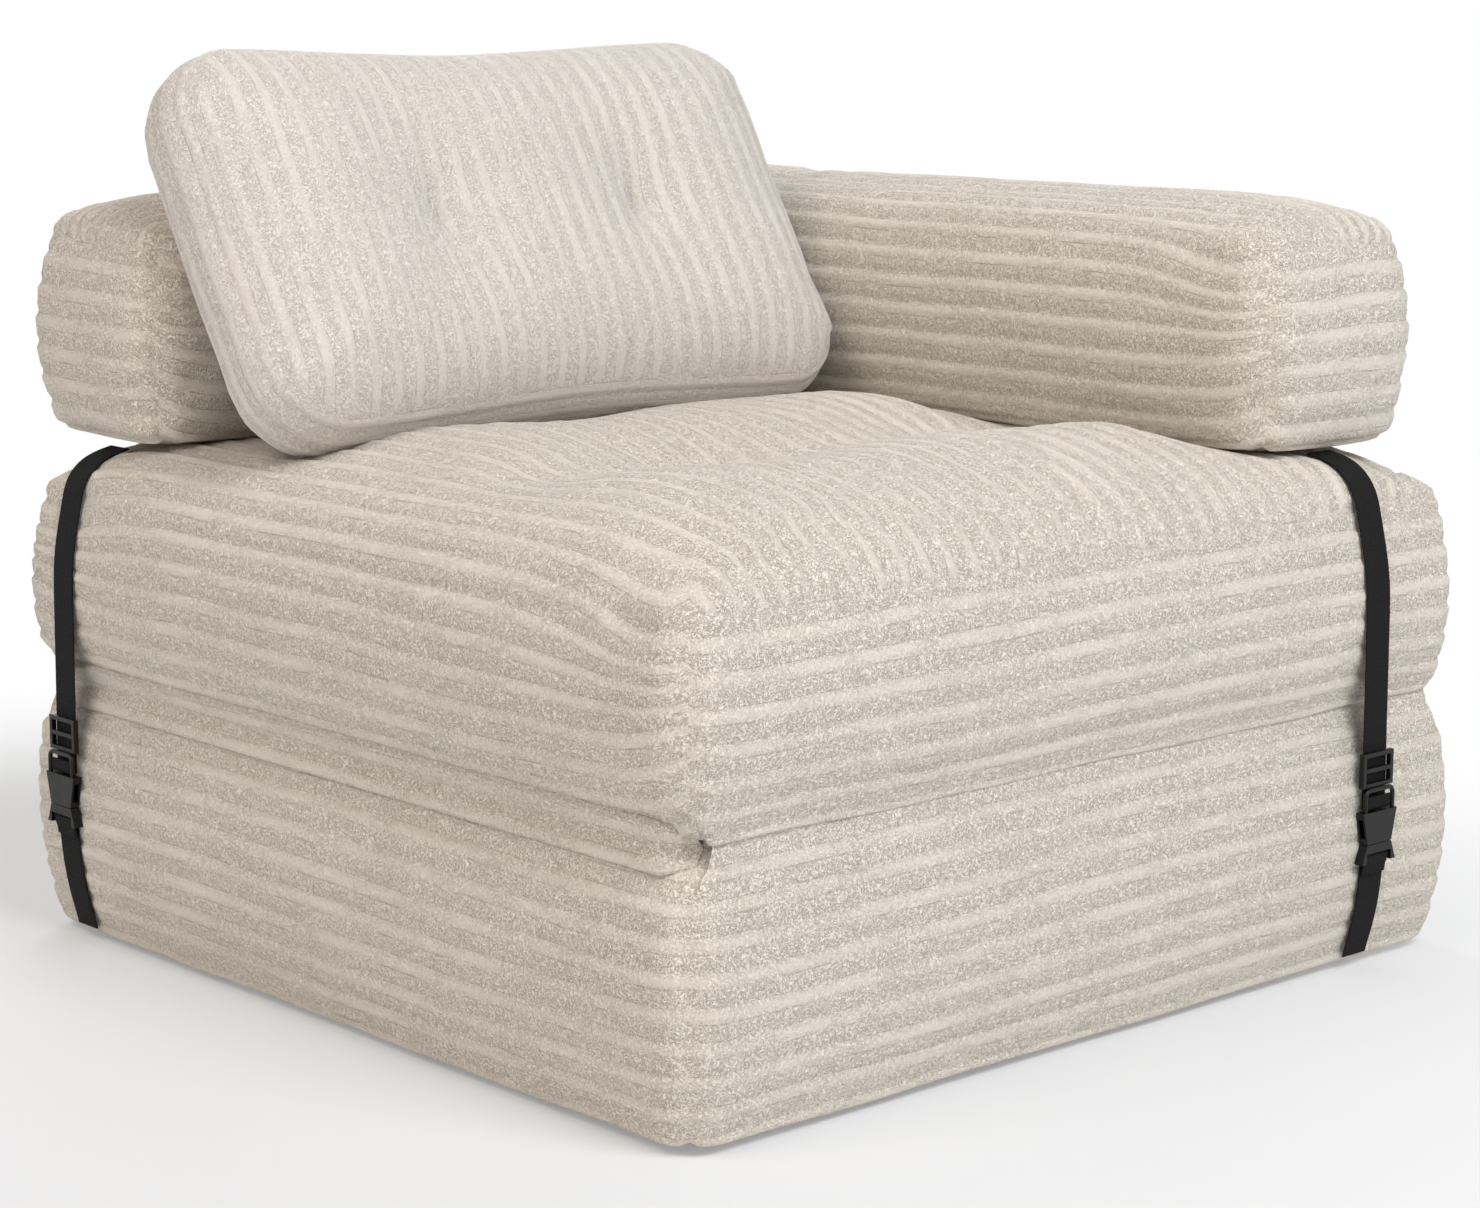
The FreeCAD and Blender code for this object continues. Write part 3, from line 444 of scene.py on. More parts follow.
def crumple(points):
    """Shallow unevenness of a stuffed cover."""
    x, y, z = points[..., 0], points[..., 1], points[..., 2]
    broad = np.sin(17.0 * x + 5.0 * z + 0.4) * np.sin(15.0 * y - 7.0 * z + 1.1)
    close = np.sin(37.0 * x - 11.0 * y) * np.sin(29.0 * y + 33.0 * z + 0.6)
    return BROAD_CRUMPLE * broad + CLOSE_CRUMPLE * close


def zip_far(points, ends):
    """Distance of points from the line of a zip, less its placket."""
    start, end = (np.array(spot) for spot in ends)
    run = end - start
    share = np.clip((points - start) @ run / (run @ run), 0.0, 1.0)
    return np.maximum(np.linalg.norm(points - start - share[..., None] * run, axis=-1) - PLACKET, 0.0)


class Cover:
    """The sewn panels of one cover, gathered into one welded mesh."""

    def __init__(self, zip_ends, closer=1.0):
        self.zip_ends = zip_ends
        self.closer = closer
        self.panels = []
        self.count = 0

    def panel(self, points, along, across, seam_far):
        shape = points.shape[:2]
        index = self.count + np.arange(shape[0] * shape[1]).reshape(shape)
        along, across, seam_far = (np.broadcast_to(value, shape) for value in (along, across, seam_far))
        across = self.closer * across + wander(along, across)
        seam_far = np.minimum(seam_far, zip_far(points, self.zip_ends))
        lift = ribbed(across, seam_far) / self.closer ** 2 + crumple(points)
        flats = np.stack([along.ravel(), across.ravel()], axis=-1)
        self.panels.append((points.reshape(-1, 3), lift.ravel(), flats, grid_quads(index)))
        self.count += index.size

    def weld(self, name):
        points, lifts, flats, quads = (np.concatenate(part) for part in zip(*self.panels))
        mesh = fabric_mesh(name, points, quads.tolist(), flats)
        lift = mesh.attributes.new("lift", "FLOAT", "POINT")
        lift.data.foreach_set("value", lifts.astype(np.float32))
        work = bmesh.new()
        work.from_mesh(mesh)
        bmesh.ops.remove_doubles(work, verts=work.verts, dist=WELD)
        open_edges = [edge for edge in work.edges if len(edge.link_faces) == 1]
        bmesh.ops.holes_fill(work, edges=open_edges, sides=0)
        bmesh.ops.recalc_face_normals(work, faces=work.faces)
        for face in work.faces:
            face.smooth = True
        work.to_mesh(mesh)
        work.free()
        return mesh


STEP = 0.0034
STRIDE = 0.012
LOW_ROWS = 8


def wrapped_cover(box, seam_drop, lap, shape, zip_ends):
    """A cover with one wrap over the sides and top, and an upright panel sewn in at each end.

    The wrap comes seam_drop down over each end, or the end panels come lap over the top. Where it comes
    down, the wrap's ribs sweep round its corners from the sides to the ends."""
    inner = box.half_s - lap
    seam = box.high - seam_drop
    wide = spaced(-box.half_w, box.half_w, STEP)
    deep = spaced(-inner, inner, STRIDE)
    lapped = spaced(0.0, lap, STEP)
    full = np.concatenate([lapped[:-1] - box.half_s, deep, (box.half_s - lapped[:-1])[::-1]])
    turned = np.linspace(box.low_round, 0.0, LOW_ROWS)[:-1]
    lower = spaced(box.low, seam, STEP)
    upper = spaced(seam, box.high, STEP)[1:]
    insets = np.concatenate([turned, np.zeros(len(lower) + len(upper))])
    levels = np.concatenate([np.full(len(turned), box.low), lower, upper])
    ends = len(turned) + len(lower)

    def form(w, s, z):
        w, s, z = np.broadcast_arrays(w, s, z)
        return shape(soften(w, s, z, box))

    run = travel(form(wide, 0.0, box.high))
    half_top = 0.5 * run[-1]
    top_across = run - half_top
    side = form(-(box.half_w - insets), 0.0, levels)
    side_across = -(half_top + travel(side[::-1])[::-1])
    rise = travel(side)
    seam_run = -side_across[ends - 1] - half_top

    cover = Cover(zip_ends)
    spread = full[None, :] * ((box.half_s - insets) / box.half_s)[:, None]
    to_end = box.half_s - np.abs(full)[None, :]
    above = np.maximum(levels - seam, 0.0)
    seam_far = np.minimum(np.hypot(to_end, above[:, None]), RIM_KEEP + rise[:, None])
    across = half_top + corner_ribs(-side_across[:, None] - half_top, -to_end, seam_run)
    for sign in (-1.0, 1.0):
        points = form(sign * (box.half_w - insets)[:, None], spread, levels[:, None])
        cover.panel(points, full[None, :], sign * across, seam_far)

    strip = levels[ends - 1:]
    path_s = np.concatenate([np.full(len(strip), -inner), deep[1:-1], np.full(len(strip), inner)])
    path_z = np.concatenate([strip, np.full(len(deep) - 2, box.high), strip[::-1]])
    reach = np.concatenate([strip - box.high - inner, deep[1:-1], inner + box.high - strip[::-1]])
    points = form(wide[:, None], path_s[None, :], path_z[None, :])
    drop = -side_across[ends - 1:] - half_top
    past_end = np.concatenate([drop, np.abs(deep[1:-1]) - inner, drop[::-1]])
    across = half_top + corner_ribs((np.abs(top_across) - half_top)[:, None], past_end[None, :], drop.max())
    cover.panel(points, reach[None, :], np.sign(wide)[:, None] * across, (reach[-1] - np.abs(reach))[None, :])

    end_insets = np.concatenate([insets[:ends], lapped[1:]])
    end_levels = np.concatenate([levels[:ends], np.full(len(lapped) - 1, box.high)])
    end_rise = np.concatenate([rise[:ends], rise[ends - 1] + lapped[1:]])
    end_across = np.concatenate([side_across[:ends], side_across[ends - 1] + lapped[1:]])
    shrink = np.where(end_levels < box.high, box.half_w - end_insets, box.half_w) / box.half_w
    spread = wide[None, :] * shrink[:, None]
    to_seam = np.minimum(RIM_KEEP + end_rise, end_rise[-1] - end_rise)
    seam_far = np.minimum(box.half_w - np.abs(wide)[None, :], to_seam[:, None])
    for sign in (-1.0, 1.0):
        points = form(spread, sign * (box.half_s - end_insets)[:, None], end_levels[:, None])
        cover.panel(points, wide[None, :], end_across[:, None], seam_far)

    low_w = wide * (box.half_w - box.low_round) / box.half_w
    low_s = full * (box.half_s - box.low_round) / box.half_s
    points = form(low_w[:, None], low_s[None, :], box.low)
    to_rim = np.minimum((low_w[-1] - np.abs(low_w))[:, None], (low_s[-1] - np.abs(low_s))[None, :])
    cover.panel(points, low_s[None, :], low_w[:, None], RIM_KEEP + to_rim)
    return cover


TUFT_BELOW = (-0.06, -0.02)


def dimple(points, centre, depth, reach, pull):
    """Press a tuft into a surface, a wide bowl with a sharp pit, and draw the cloth in towards its tie."""
    offset = points - np.array(centre)
    x, y = offset[..., 0], offset[..., 1]
    near = np.clip(1.0 - np.hypot(x / reach[0], y / reach[1]), 0.0, 1.0)
    draw = (0.5 * near ** 2 + 0.5 * near ** 6) * ease(*TUFT_BELOW, offset[..., 2])
    return points - np.stack([pull * draw * x, 0.5 * pull * draw * y, depth * draw], axis=-1)


VOXEL = 0.013
SWELL_FRAMES = 20
SWELL_PRESSURE = 4.0
NEAREST = 6
NEAREST_SOFT = 0.004


def swell(piece, pinned, cap):
    """Blow up a coarse copy of a cushion as cloth, and carry its swelling over to the cushion."""
    copy = bpy.data.objects.new(piece.name + "_swell", piece.data.copy())
    scene.collection.objects.link(copy)
    remesh = copy.modifiers.new("remesh", "REMESH")
    remesh.mode = "VOXEL"
    remesh.voxel_size = VOXEL
    graph = bpy.context.evaluated_depsgraph_get()
    copy.data = bpy.data.meshes.new_from_object(copy.evaluated_get(graph))
    copy.modifiers.clear()
    rest = rows_of(copy.data.vertices, "co").astype(float)
    group = copy.vertex_groups.new(name="pinned")
    group.add([int(index) for index in np.nonzero(pinned(rest))[0]], 1.0, "REPLACE")
    cloth = copy.modifiers.new("cloth", "CLOTH")
    cloth.settings.use_pressure = True
    cloth.settings.uniform_pressure_force = SWELL_PRESSURE
    cloth.settings.effector_weights.gravity = 0.0
    cloth.settings.vertex_group_mass = group.name
    cloth.point_cache.frame_start = 1
    cloth.point_cache.frame_end = SWELL_FRAMES
    for number in range(1, SWELL_FRAMES + 1):
        scene.frame_set(number)
    graph = bpy.context.evaluated_depsgraph_get()
    moved = rows_of(copy.evaluated_get(graph).data.vertices, "co").astype(float) - rest
    size = np.maximum(np.linalg.norm(moved, axis=1, keepdims=True), TINY)
    moved = moved * (cap * np.tanh(size / cap) / size)
    tree = KDTree(len(rest))
    for index, spot in enumerate(rest):
        tree.insert(spot, index)
    tree.balance()
    spots = rows_of(piece.data.vertices, "co").astype(float)
    for index, spot in enumerate(spots):
        near = tree.find_n(spot, NEAREST)
        weights = np.array([1.0 / (far + NEAREST_SOFT) ** 2 for _, _, far in near])
        steps = moved[[number for _, number, _ in near]]
        spots[index] = spot + weights @ steps / weights.sum()
    piece.data.vertices.foreach_set("co", spots.astype(np.float32).ravel())
    piece.data.update()
    bpy.data.objects.remove(copy)
    scene.frame_set(1)


def raise_ribs(piece):
    """Lift the cover's ribs off its form, along the surface."""
    mesh = piece.data
    lifts = rows_of(mesh.attributes["lift"].data, "value", width=1)
    spots = rows_of(mesh.vertices, "co") + rows_of(mesh.vertices, "normal") * lifts
    mesh.vertices.foreach_set("co", spots.ravel())
    mesh.attributes.remove(mesh.attributes["lift"])
    mesh.update()


def cushion(name, cover, body, nodes, pinned, cap, finish="cover"):
    """A finished cushion that stands for its cover and its foam."""
    piece = link(name, cover.weld(name), finish)
    swell(piece, lambda spots: pinned(spots) | (zip_far(spots, cover.zip_ends) < ZIP_HOLD), cap)
    raise_ribs(piece)
    settle(piece, body, "cover", *nodes)


# The two pads

PAD_HALF = 0.454
PAD_DRAW = 0.0006
PAD_CORNER = 0.030
PAD_CORNER_GROW = 2.0
PAD_LOW_ROUND = 0.015
PAD_BACK = 0.469
PAD_ZIP_HALF = 0.352
PIN_HEIGHT = 0.012
SEAT_LOW, SEAT_TOP = 0.2348, 0.4560
SEAT_LOW_ROUND = 0.012
SEAT_TOP_ROUND = 0.054
SEAT_TOP_BAND = (0.40, 0.45)
SEAT_SEAM_DROP = 0.040
SEAT_TUFT = 0.150
SEAT_TUFTS = [(x, y) for x in (-SEAT_TUFT, SEAT_TUFT) for y in (-SEAT_TUFT, SEAT_TUFT)]
SEAT_TUFT_FLOOR = 0.4240
SEAT_TUFT_REACH = 0.165
SEAT_BACK_TUFT_REACH = 0.115
SEAT_TUFT_PULL = 0.6
SEAT_TUFT_HOLD = 0.03
SEAT_HUMP = 0.027
SEAT_HUMP_X = ((-0.45, -0.28), (0.16, 0.262))
SEAT_HUMP_Y = ((-0.45, -0.28), (0.10, 0.22))
SEAT_DIP = 0.017
SEAT_DIP_WIDTH = 0.055
SEAT_VALLEY_HEIGHT = 0.040
SEAT_VALLEY_DEPTH = 0.010
BASE_LOW, BASE_TOP = 0.0034, 0.2340
BASE_TOP_ROUND = 0.004
BASE_LAP = 0.034
BASE_LEAN = 0.007
BASE_LEAN_HEIGHT = 0.042
BASE_LIP = 0.010
BASE_LIP_RIM = (0.006, 0.020)
BASE_LIP_HEIGHT = 0.03
BASE_VALLEY_HEIGHT = 0.046
BASE_VALLEY_DEPTH = 0.015
VALLEY_FACE = (-0.445, -0.415)
VALLEY_END_GAIN = 0.7
VALLEY_END_REACH = 0.05
CORNER_DROOP = 0.6
CORNER_SPREAD = 0.085
CORNER_STEP = 0.014
STRAP_X = 0.329
STRAP_Y = 0.377
STRAP_HOLD = 0.030
STRAP_FACE = -0.40


def pad_box(low, high, top_round, low_round, bulge):
    """The form of a pad; bulge is how far its left, right, front and back swell."""
    half = PAD_HALF - PAD_DRAW
    return SimpleNamespace(half_w=half, half_s=half, low=low, high=high - PAD_DRAW, corner=PAD_CORNER,
                           corner_grow=PAD_CORNER_GROW, top_round=top_round, low_round=low_round, bulge=bulge)


SEAT_BOX = pad_box(SEAT_LOW, SEAT_TOP, SEAT_TOP_ROUND, SEAT_LOW_ROUND, bulge=(0.013, 0.008, 0.014, 0.014))
BASE_BOX = pad_box(BASE_LOW, BASE_TOP, BASE_TOP_ROUND, PAD_LOW_ROUND, bulge=(0.014, 0.020, 0.014, 0.014))


def back_zip(level, back):
    return ((-PAD_ZIP_HALF, back, level), (PAD_ZIP_HALF, back, level))


SEAT_ZIP = back_zip(level=0.3282, back=PAD_BACK)
BASE_ZIP = back_zip(level=0.1177, back=PAD_BACK)


def seat_rise(x, y):
    """How far the seat's top is humped where nothing stands on it, with a dip along each row of tufts."""
    dip = SEAT_DIP * np.exp(-((np.abs(y) - SEAT_TUFT) / SEAT_DIP_WIDTH) ** 2)
    return hill(x, *SEAT_HUMP_X) * hill(y, *SEAT_HUMP_Y) * (SEAT_HUMP - dip)


def valley(points, share, depth):
    """Draw the left face in towards the fold, behind the end panels' own edges."""
    x, y = points[..., 0], points[..., 1]
    on_face = 1.0 - ease(*VALLEY_FACE, x)
    to_end = PAD_HALF - np.abs(y)
    deeper = 1.0 + VALLEY_END_GAIN * np.exp(-(to_end / VALLEY_END_REACH) ** 2)
    inward = depth * share * on_face * ease(0.0, CORNER_STEP, to_end) * deeper
    return points + np.stack([inward, 0 * x, 0 * x], axis=-1)


def seat_shape(points):
    """Hump the seat's top, let its corners droop, and press its tufts and its valley in."""
    x, y, z = points[..., 0], points[..., 1], points[..., 2]
    near = np.exp(-((PAD_HALF - np.abs(x)) ** 2 + (PAD_HALF - np.abs(y)) ** 2) / CORNER_SPREAD ** 2)
    droop = CORNER_DROOP * near * np.maximum(z - SEAT_TOP + SEAT_SEAM_DROP, 0.0)
    rise = seat_rise(x, y) * ease(*SEAT_TOP_BAND, z) - droop
    points = points + np.stack([0 * x, 0 * x, rise], axis=-1)
    for tuft in SEAT_TUFTS:
        face = SEAT_TOP + seat_rise(*tuft)
        reach = SEAT_TUFT_REACH if tuft[1] < 0 else SEAT_BACK_TUFT_REACH
        points = dimple(points, tuft + (face,), face - SEAT_TUFT_FLOOR, (reach, reach), SEAT_TUFT_PULL)
    share = 1.0 - ease(SEAT_LOW, SEAT_LOW + SEAT_VALLEY_HEIGHT, points[..., 2])
    return valley(points, share, SEAT_VALLEY_DEPTH)


def base_shape(points):
    """Lean the base's upper edges in, turn its rim up to meet the seat, and press its valley in."""
    x, y, z = points[..., 0], points[..., 1], points[..., 2]
    lean = BASE_LEAN * ease(BASE_TOP - BASE_LEAN_HEIGHT, BASE_TOP, z) / PAD_HALF
    rim = PAD_HALF - np.maximum(np.abs(x), np.abs(y))
    lip = BASE_LIP * (1.0 - ease(*BASE_LIP_RIM, rim)) * ease(BASE_TOP - BASE_LIP_HEIGHT, BASE_TOP, z)
    points = points - np.stack([lean * np.maximum(x, 0.0), lean * y, -lip], axis=-1)
    share = ease(BASE_TOP - BASE_VALLEY_HEIGHT, BASE_TOP, points[..., 2])
    return valley(points, share, BASE_VALLEY_DEPTH)


def seat_pins(spots):
    x, y, z = spots.T
    pins = z < SEAT_LOW + PIN_HEIGHT
    pins |= (np.abs(x - STRAP_X) < STRAP_HOLD) & (y < STRAP_FACE)
    pins |= (np.abs(y - STRAP_Y) < STRAP_HOLD) & (x < STRAP_FACE)
    for tuft_x, tuft_y in SEAT_TUFTS:
        pins |= (np.hypot(x - tuft_x, y - tuft_y) < SEAT_TUFT_HOLD) & (z > SEAT_TOP_BAND[0])
    return pins


def base_pins(spots):
    return (spots[:, 2] < BASE_LOW + PIN_HEIGHT) | (spots[:, 2] > BASE_TOP - PIN_HEIGHT)


cushion("seat_pad", wrapped_cover(SEAT_BOX, SEAT_SEAM_DROP, 0.0, seat_shape, SEAT_ZIP), "seat",
        ("seat_cover", "seat_foam_core"), pinned=seat_pins, cap=0.005)
cushion("base_pad", wrapped_cover(BASE_BOX, 0.0, BASE_LAP, base_shape, BASE_ZIP), "base",
        ("base_cover", "base_foam_core"), pinned=base_pins, cap=0.003)


# The bolster, run along an L

BOLSTER_HALF = 0.101
BOLSTER_LOW, BOLSTER_TOP = 0.4568, 0.6660
ARM_MIDDLE = 0.3345
BACK_MIDDLE = 0.367
ARM_FRONT = -0.417
BACK_LEFT = -0.436
BEND_IN = 0.030
BEND_OUT = 0.042
BEND_SPAN = 0.030
ARM_LENGTH = BACK_MIDDLE - ARM_FRONT
BACK_LENGTH = ARM_MIDDLE - BACK_LEFT
BOLSTER_LENGTH = ARM_LENGTH + BACK_LENGTH
END_KEEP = 0.25
BOLSTER_CROWN = 0.006
BOLSTER_CROWN_END = 0.14
BOLSTER_CROWN_BAND = (0.60, 0.66)
BOLSTER_SEAM_DROP = 0.026
BOLSTER_ZIP = back_zip(level=0.5544, back=0.477)

BOLSTER_BOX = SimpleNamespace(half_w=BOLSTER_HALF - PAD_DRAW, half_s=0.5 * BOLSTER_LENGTH - PAD_DRAW,
                              low=BOLSTER_LOW, high=BOLSTER_TOP - PAD_DRAW, corner=0.036, corner_grow=0.7,
                              top_round=0.036, low_round=0.020, bulge=(0.009, 0.011, 0.012, 0.014))


def bolster_shape(points):
    """Crown the straight bolster, then bend it round its corner, keeping each end as it is."""
    across, along, height = points[..., 0], points[..., 1] + 0.5 * BOLSTER_LENGTH, points[..., 2]
    from_end = np.minimum(along, BOLSTER_LENGTH - along)
    dome = np.clip(1.0 - (across / BOLSTER_HALF) ** 2, 0.0, 1.0) * ease(0.0, BOLSTER_CROWN_END, from_end)
    height = height + BOLSTER_CROWN * dome * ease(*BOLSTER_CROWN_BAND, height)
    bend = 0.5 * (BEND_IN + BEND_OUT) + 0.5 * (BEND_OUT - BEND_IN) * across / BOLSTER_HALF
    arm_end = ARM_LENGTH - BEND_SPAN
    back_start = ARM_LENGTH + BEND_SPAN
    arm_stop = BACK_MIDDLE + across - bend
    arm_share = (along - END_KEEP) / (arm_end - END_KEEP)
    arm_y = np.where(along < END_KEEP, ARM_FRONT + along,
                     ARM_FRONT + END_KEEP + arm_share * (arm_stop - ARM_FRONT - END_KEEP))
    angle = np.clip((along - arm_end) / (2 * BEND_SPAN), 0.0, 1.0) * (0.5 * np.pi)
    back_go = ARM_MIDDLE + across - bend
    back_end = BOLSTER_LENGTH - END_KEEP
    back_share = (back_end - along) / (back_end - back_start)
    back_x = np.where(along > back_end, BACK_LEFT + BOLSTER_LENGTH - along,
                      BACK_LEFT + END_KEEP + back_share * (back_go - BACK_LEFT - END_KEEP))
    x = np.where(along < arm_end, ARM_MIDDLE + across,
                 np.where(along > back_start, back_x, back_go + bend * np.cos(angle)))
    y = np.where(along < arm_end, arm_y,
                 np.where(along > back_start, BACK_MIDDLE + across, arm_stop + bend * np.sin(angle)))
    return np.stack([x, y, height], axis=-1)


def bolster_pins(spots):
    return spots[:, 2] < BOLSTER_LOW + PIN_HEIGHT


cushion("bolster", wrapped_cover(BOLSTER_BOX, BOLSTER_SEAM_DROP, 0.0, bolster_shape, BOLSTER_ZIP), "bolster",
        ("bolster_cover", "bolster_back_foam", "bolster_arm_foam"),
        pinned=bolster_pins, cap=0.004)


# The pillow

PILLOW_HALF_W = 0.316
PILLOW_HALF_S = 0.1765
PILLOW_STRIDE = 0.010
PILLOW_RIBS = 1.2
PILLOW_CORNER = 0.066
PILLOW_AT = Vector((-0.1095, 0.2407, 0.6005))
PILLOW_TILT = math.radians(59.0)
PILLOW_BACK = 0.014
PILLOW_FRONT = 0.099
PILLOW_FRONT_CROWN = 0.037
PILLOW_BACK_CROWN = 0.013
PILLOW_CROWN_REACH = 0.15
PILLOW_CROWN_POWER = 3.2
PILLOW_WAIST = 0.006
PILLOW_BULGE = 0.012
PILLOW_TUFTS = (-0.1105, 0.1145)
PILLOW_TUFT_FLOOR = 0.1036
PILLOW_TUFT_REACH = (0.11, 0.16)
PILLOW_TUFT_PULL = 0.45
PILLOW_TUFT_HOLD = 0.028
PILLOW_MIDDLE = 0.06
PILLOW_ZIP_LEVEL = -0.0775
PILLOW_ZIP_HALF = 0.243
PILLOW_ZIP_DEPTH = 0.001
PILLOW_ZIP_RAISE = 0.0006
pillow_turn = np.array(Matrix.Rotation(PILLOW_TILT, 3, "X"))


def pillow_world(points):
    return points @ pillow_turn.T + np.array(PILLOW_AT)


PILLOW_ZIP = pillow_world(np.array([(-PILLOW_ZIP_HALF, PILLOW_ZIP_LEVEL, PILLOW_ZIP_DEPTH),
                                    (PILLOW_ZIP_HALF, PILLOW_ZIP_LEVEL, PILLOW_ZIP_DEPTH)]))


def border(grid):
    """The values round the border of a grid."""
    return np.concatenate([grid[:, -1], grid[-1, ::-1][1:], grid[::-1, 0][1:], grid[0, :][1:]])


def pillow_cover():
    """A boxed pillow: ribs up the front and back panels, and along the band between them."""
    core_w = PILLOW_HALF_W - PILLOW_CORNER
    core_s = PILLOW_HALF_S - PILLOW_CORNER
    wide = spaced(-PILLOW_HALF_W, PILLOW_HALF_W, STEP)
    share = spaced(-1.0, 1.0, PILLOW_STRIDE / PILLOW_HALF_S)
    over = np.maximum(np.abs(wide) - core_w, 0.0)
    tall = core_s + np.sqrt(np.maximum(PILLOW_CORNER ** 2 - over ** 2, 0.0))
    tall = tall - PILLOW_WAIST * np.clip(1.0 - (wide / core_w) ** 2, 0.0, 1.0) ** 2
    x = wide[:, None] + 0.0 * share[None, :]
    y = tall[:, None] * share[None, :]
    rim = np.minimum(PILLOW_HALF_W - np.abs(x), tall[:, None] - np.abs(y))
    puff = 1.0 - (1.0 - np.clip(rim / PILLOW_CROWN_REACH, 0.0, 1.0)) ** PILLOW_CROWN_POWER
    cover = Cover(PILLOW_ZIP, PILLOW_RIBS)
    face = PILLOW_FRONT + PILLOW_FRONT_CROWN
    depth = face - PILLOW_TUFT_FLOOR
    front = np.stack([x, y, PILLOW_FRONT + PILLOW_FRONT_CROWN * puff], axis=-1)
    for tuft in PILLOW_TUFTS:
        front = dimple(front, (tuft, 0.0, face), depth, PILLOW_TUFT_REACH, PILLOW_TUFT_PULL)
    cover.panel(pillow_world(front), y, x, rim)
    back = np.stack([x, y, PILLOW_BACK - PILLOW_BACK_CROWN * puff], axis=-1)
    cover.panel(pillow_world(back), y, x, rim)

    ring_x, ring_y = border(x), border(y)
    top_y = core_s - PILLOW_WAIST
    out = np.stack([ring_x - np.clip(ring_x, -core_w, core_w),
                    ring_y - np.clip(ring_y, -top_y, top_y)], axis=-1)
    out = out / np.maximum(np.linalg.norm(out, axis=-1, keepdims=True), TINY)
    band = spaced(PILLOW_BACK, PILLOW_FRONT, STEP)
    middle = 0.5 * (PILLOW_BACK + PILLOW_FRONT)
    half = 0.5 * (PILLOW_FRONT - PILLOW_BACK)
    bulge = PILLOW_BULGE * (1.0 - ((band - middle) / half) ** 2)
    points = np.stack([ring_x[None, :] + bulge[:, None] * out[None, :, 0],
                       ring_y[None, :] + bulge[:, None] * out[None, :, 1],
                       band[:, None] + 0.0 * ring_x[None, :]], axis=-1)
    along = travel(np.stack([ring_x, ring_y], axis=-1))
    cover.panel(pillow_world(points), along[None, :], (band - middle)[:, None],
                (half - np.abs(band - middle))[:, None])
    return cover


def pillow_pins(spots):
    x, y, z = ((spots - np.array(PILLOW_AT)) @ pillow_turn).T
    pins = z < PIN_HEIGHT
    for tuft in PILLOW_TUFTS:
        pins |= (np.hypot(x - tuft, y) < PILLOW_TUFT_HOLD) & (z > PILLOW_MIDDLE)
    return pins


cushion("pillow", pillow_cover(), "pillow", ("pillow_cover", "pillow_filling"),
        pinned=pillow_pins, cap=0.006, finish="pillow_cover")


# Fold gusset: the strip of cover between the two pads' left edges, tucked in at its ends

GUSSET_HALF = 0.436
GUSSET_MIDDLE = 0.2342
GUSSET_RISE = 0.0240
GUSSET_LINE = ((-1.0, -0.4425), (-0.80, -0.4500), (-0.45, -0.4475), (0.0, -0.4437), (0.45, -0.4485),
               (0.80, -0.4545), (1.0, -0.4480))
GUSSET_COLUMNS = 91
GUSSET_ROWS = 19
GUSSET_TUCK = 0.016
GUSSET_TUCK_IN = 0.022
GUSSET_TUCK_NARROW = 0.3
GUSSET_RIB = 0.0016
GUSSET_THICK = 0.0012


def fold_strip():
    """The gusset's cloth, a thin closed strip."""
    along = np.linspace(-GUSSET_HALF, GUSSET_HALF, GUSSET_COLUMNS)
    across = np.linspace(-1.0, 1.0, GUSSET_ROWS)
    tuck = ease(GUSSET_HALF - GUSSET_TUCK, GUSSET_HALF, np.abs(along))
    line = np.interp(across, *np.array(GUSSET_LINE).T)
    x = line[:, None] + GUSSET_TUCK_IN * tuck[None, :]
    y = along[None, :] + 0.0 * across[:, None]
    z = GUSSET_MIDDLE + across[:, None] * GUSSET_RISE * (1.0 - GUSSET_TUCK_NARROW * tuck[None, :])
    front = np.stack([x, y, z], axis=-1)
    flat = travel(front[:, len(along) // 2])
    rib = np.abs(np.sin(np.pi * flat / RIB_PITCH))
    front[..., 0] -= (GUSSET_RIB * rib * (1.0 - np.abs(across) ** 6))[:, None]
    back = front + np.array([GUSSET_THICK, 0.0, 0.0])
    points = np.concatenate([front.reshape(-1, 3), back.reshape(-1, 3)])
    index = np.arange(y.size).reshape(y.shape)
    rim = np.concatenate([index[0, :], index[1:, -1], index[-1, -2::-1], index[-2:0:-1, 0]])
    after = np.roll(rim, -1)
    edges = np.stack([rim, rim + y.size, after + y.size, after], axis=-1)
    quads = np.concatenate([grid_quads(index.T), grid_quads(index + y.size), edges])
    flats = np.stack([y.ravel(), np.broadcast_to(flat[:, None], y.shape).ravel()], axis=-1)
    mesh = fabric_mesh("fold_gusset_cloth", points, quads.tolist(), np.concatenate([flats, flats]))
    for face in mesh.polygons:
        face.use_smooth = True
    return mesh


gusset = link("fold_gusset_cloth", fold_strip(), "cover")
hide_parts("fold_gusset")
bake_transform(gusset)


# Straps: each line is a side view, outward from the pads' faces and up

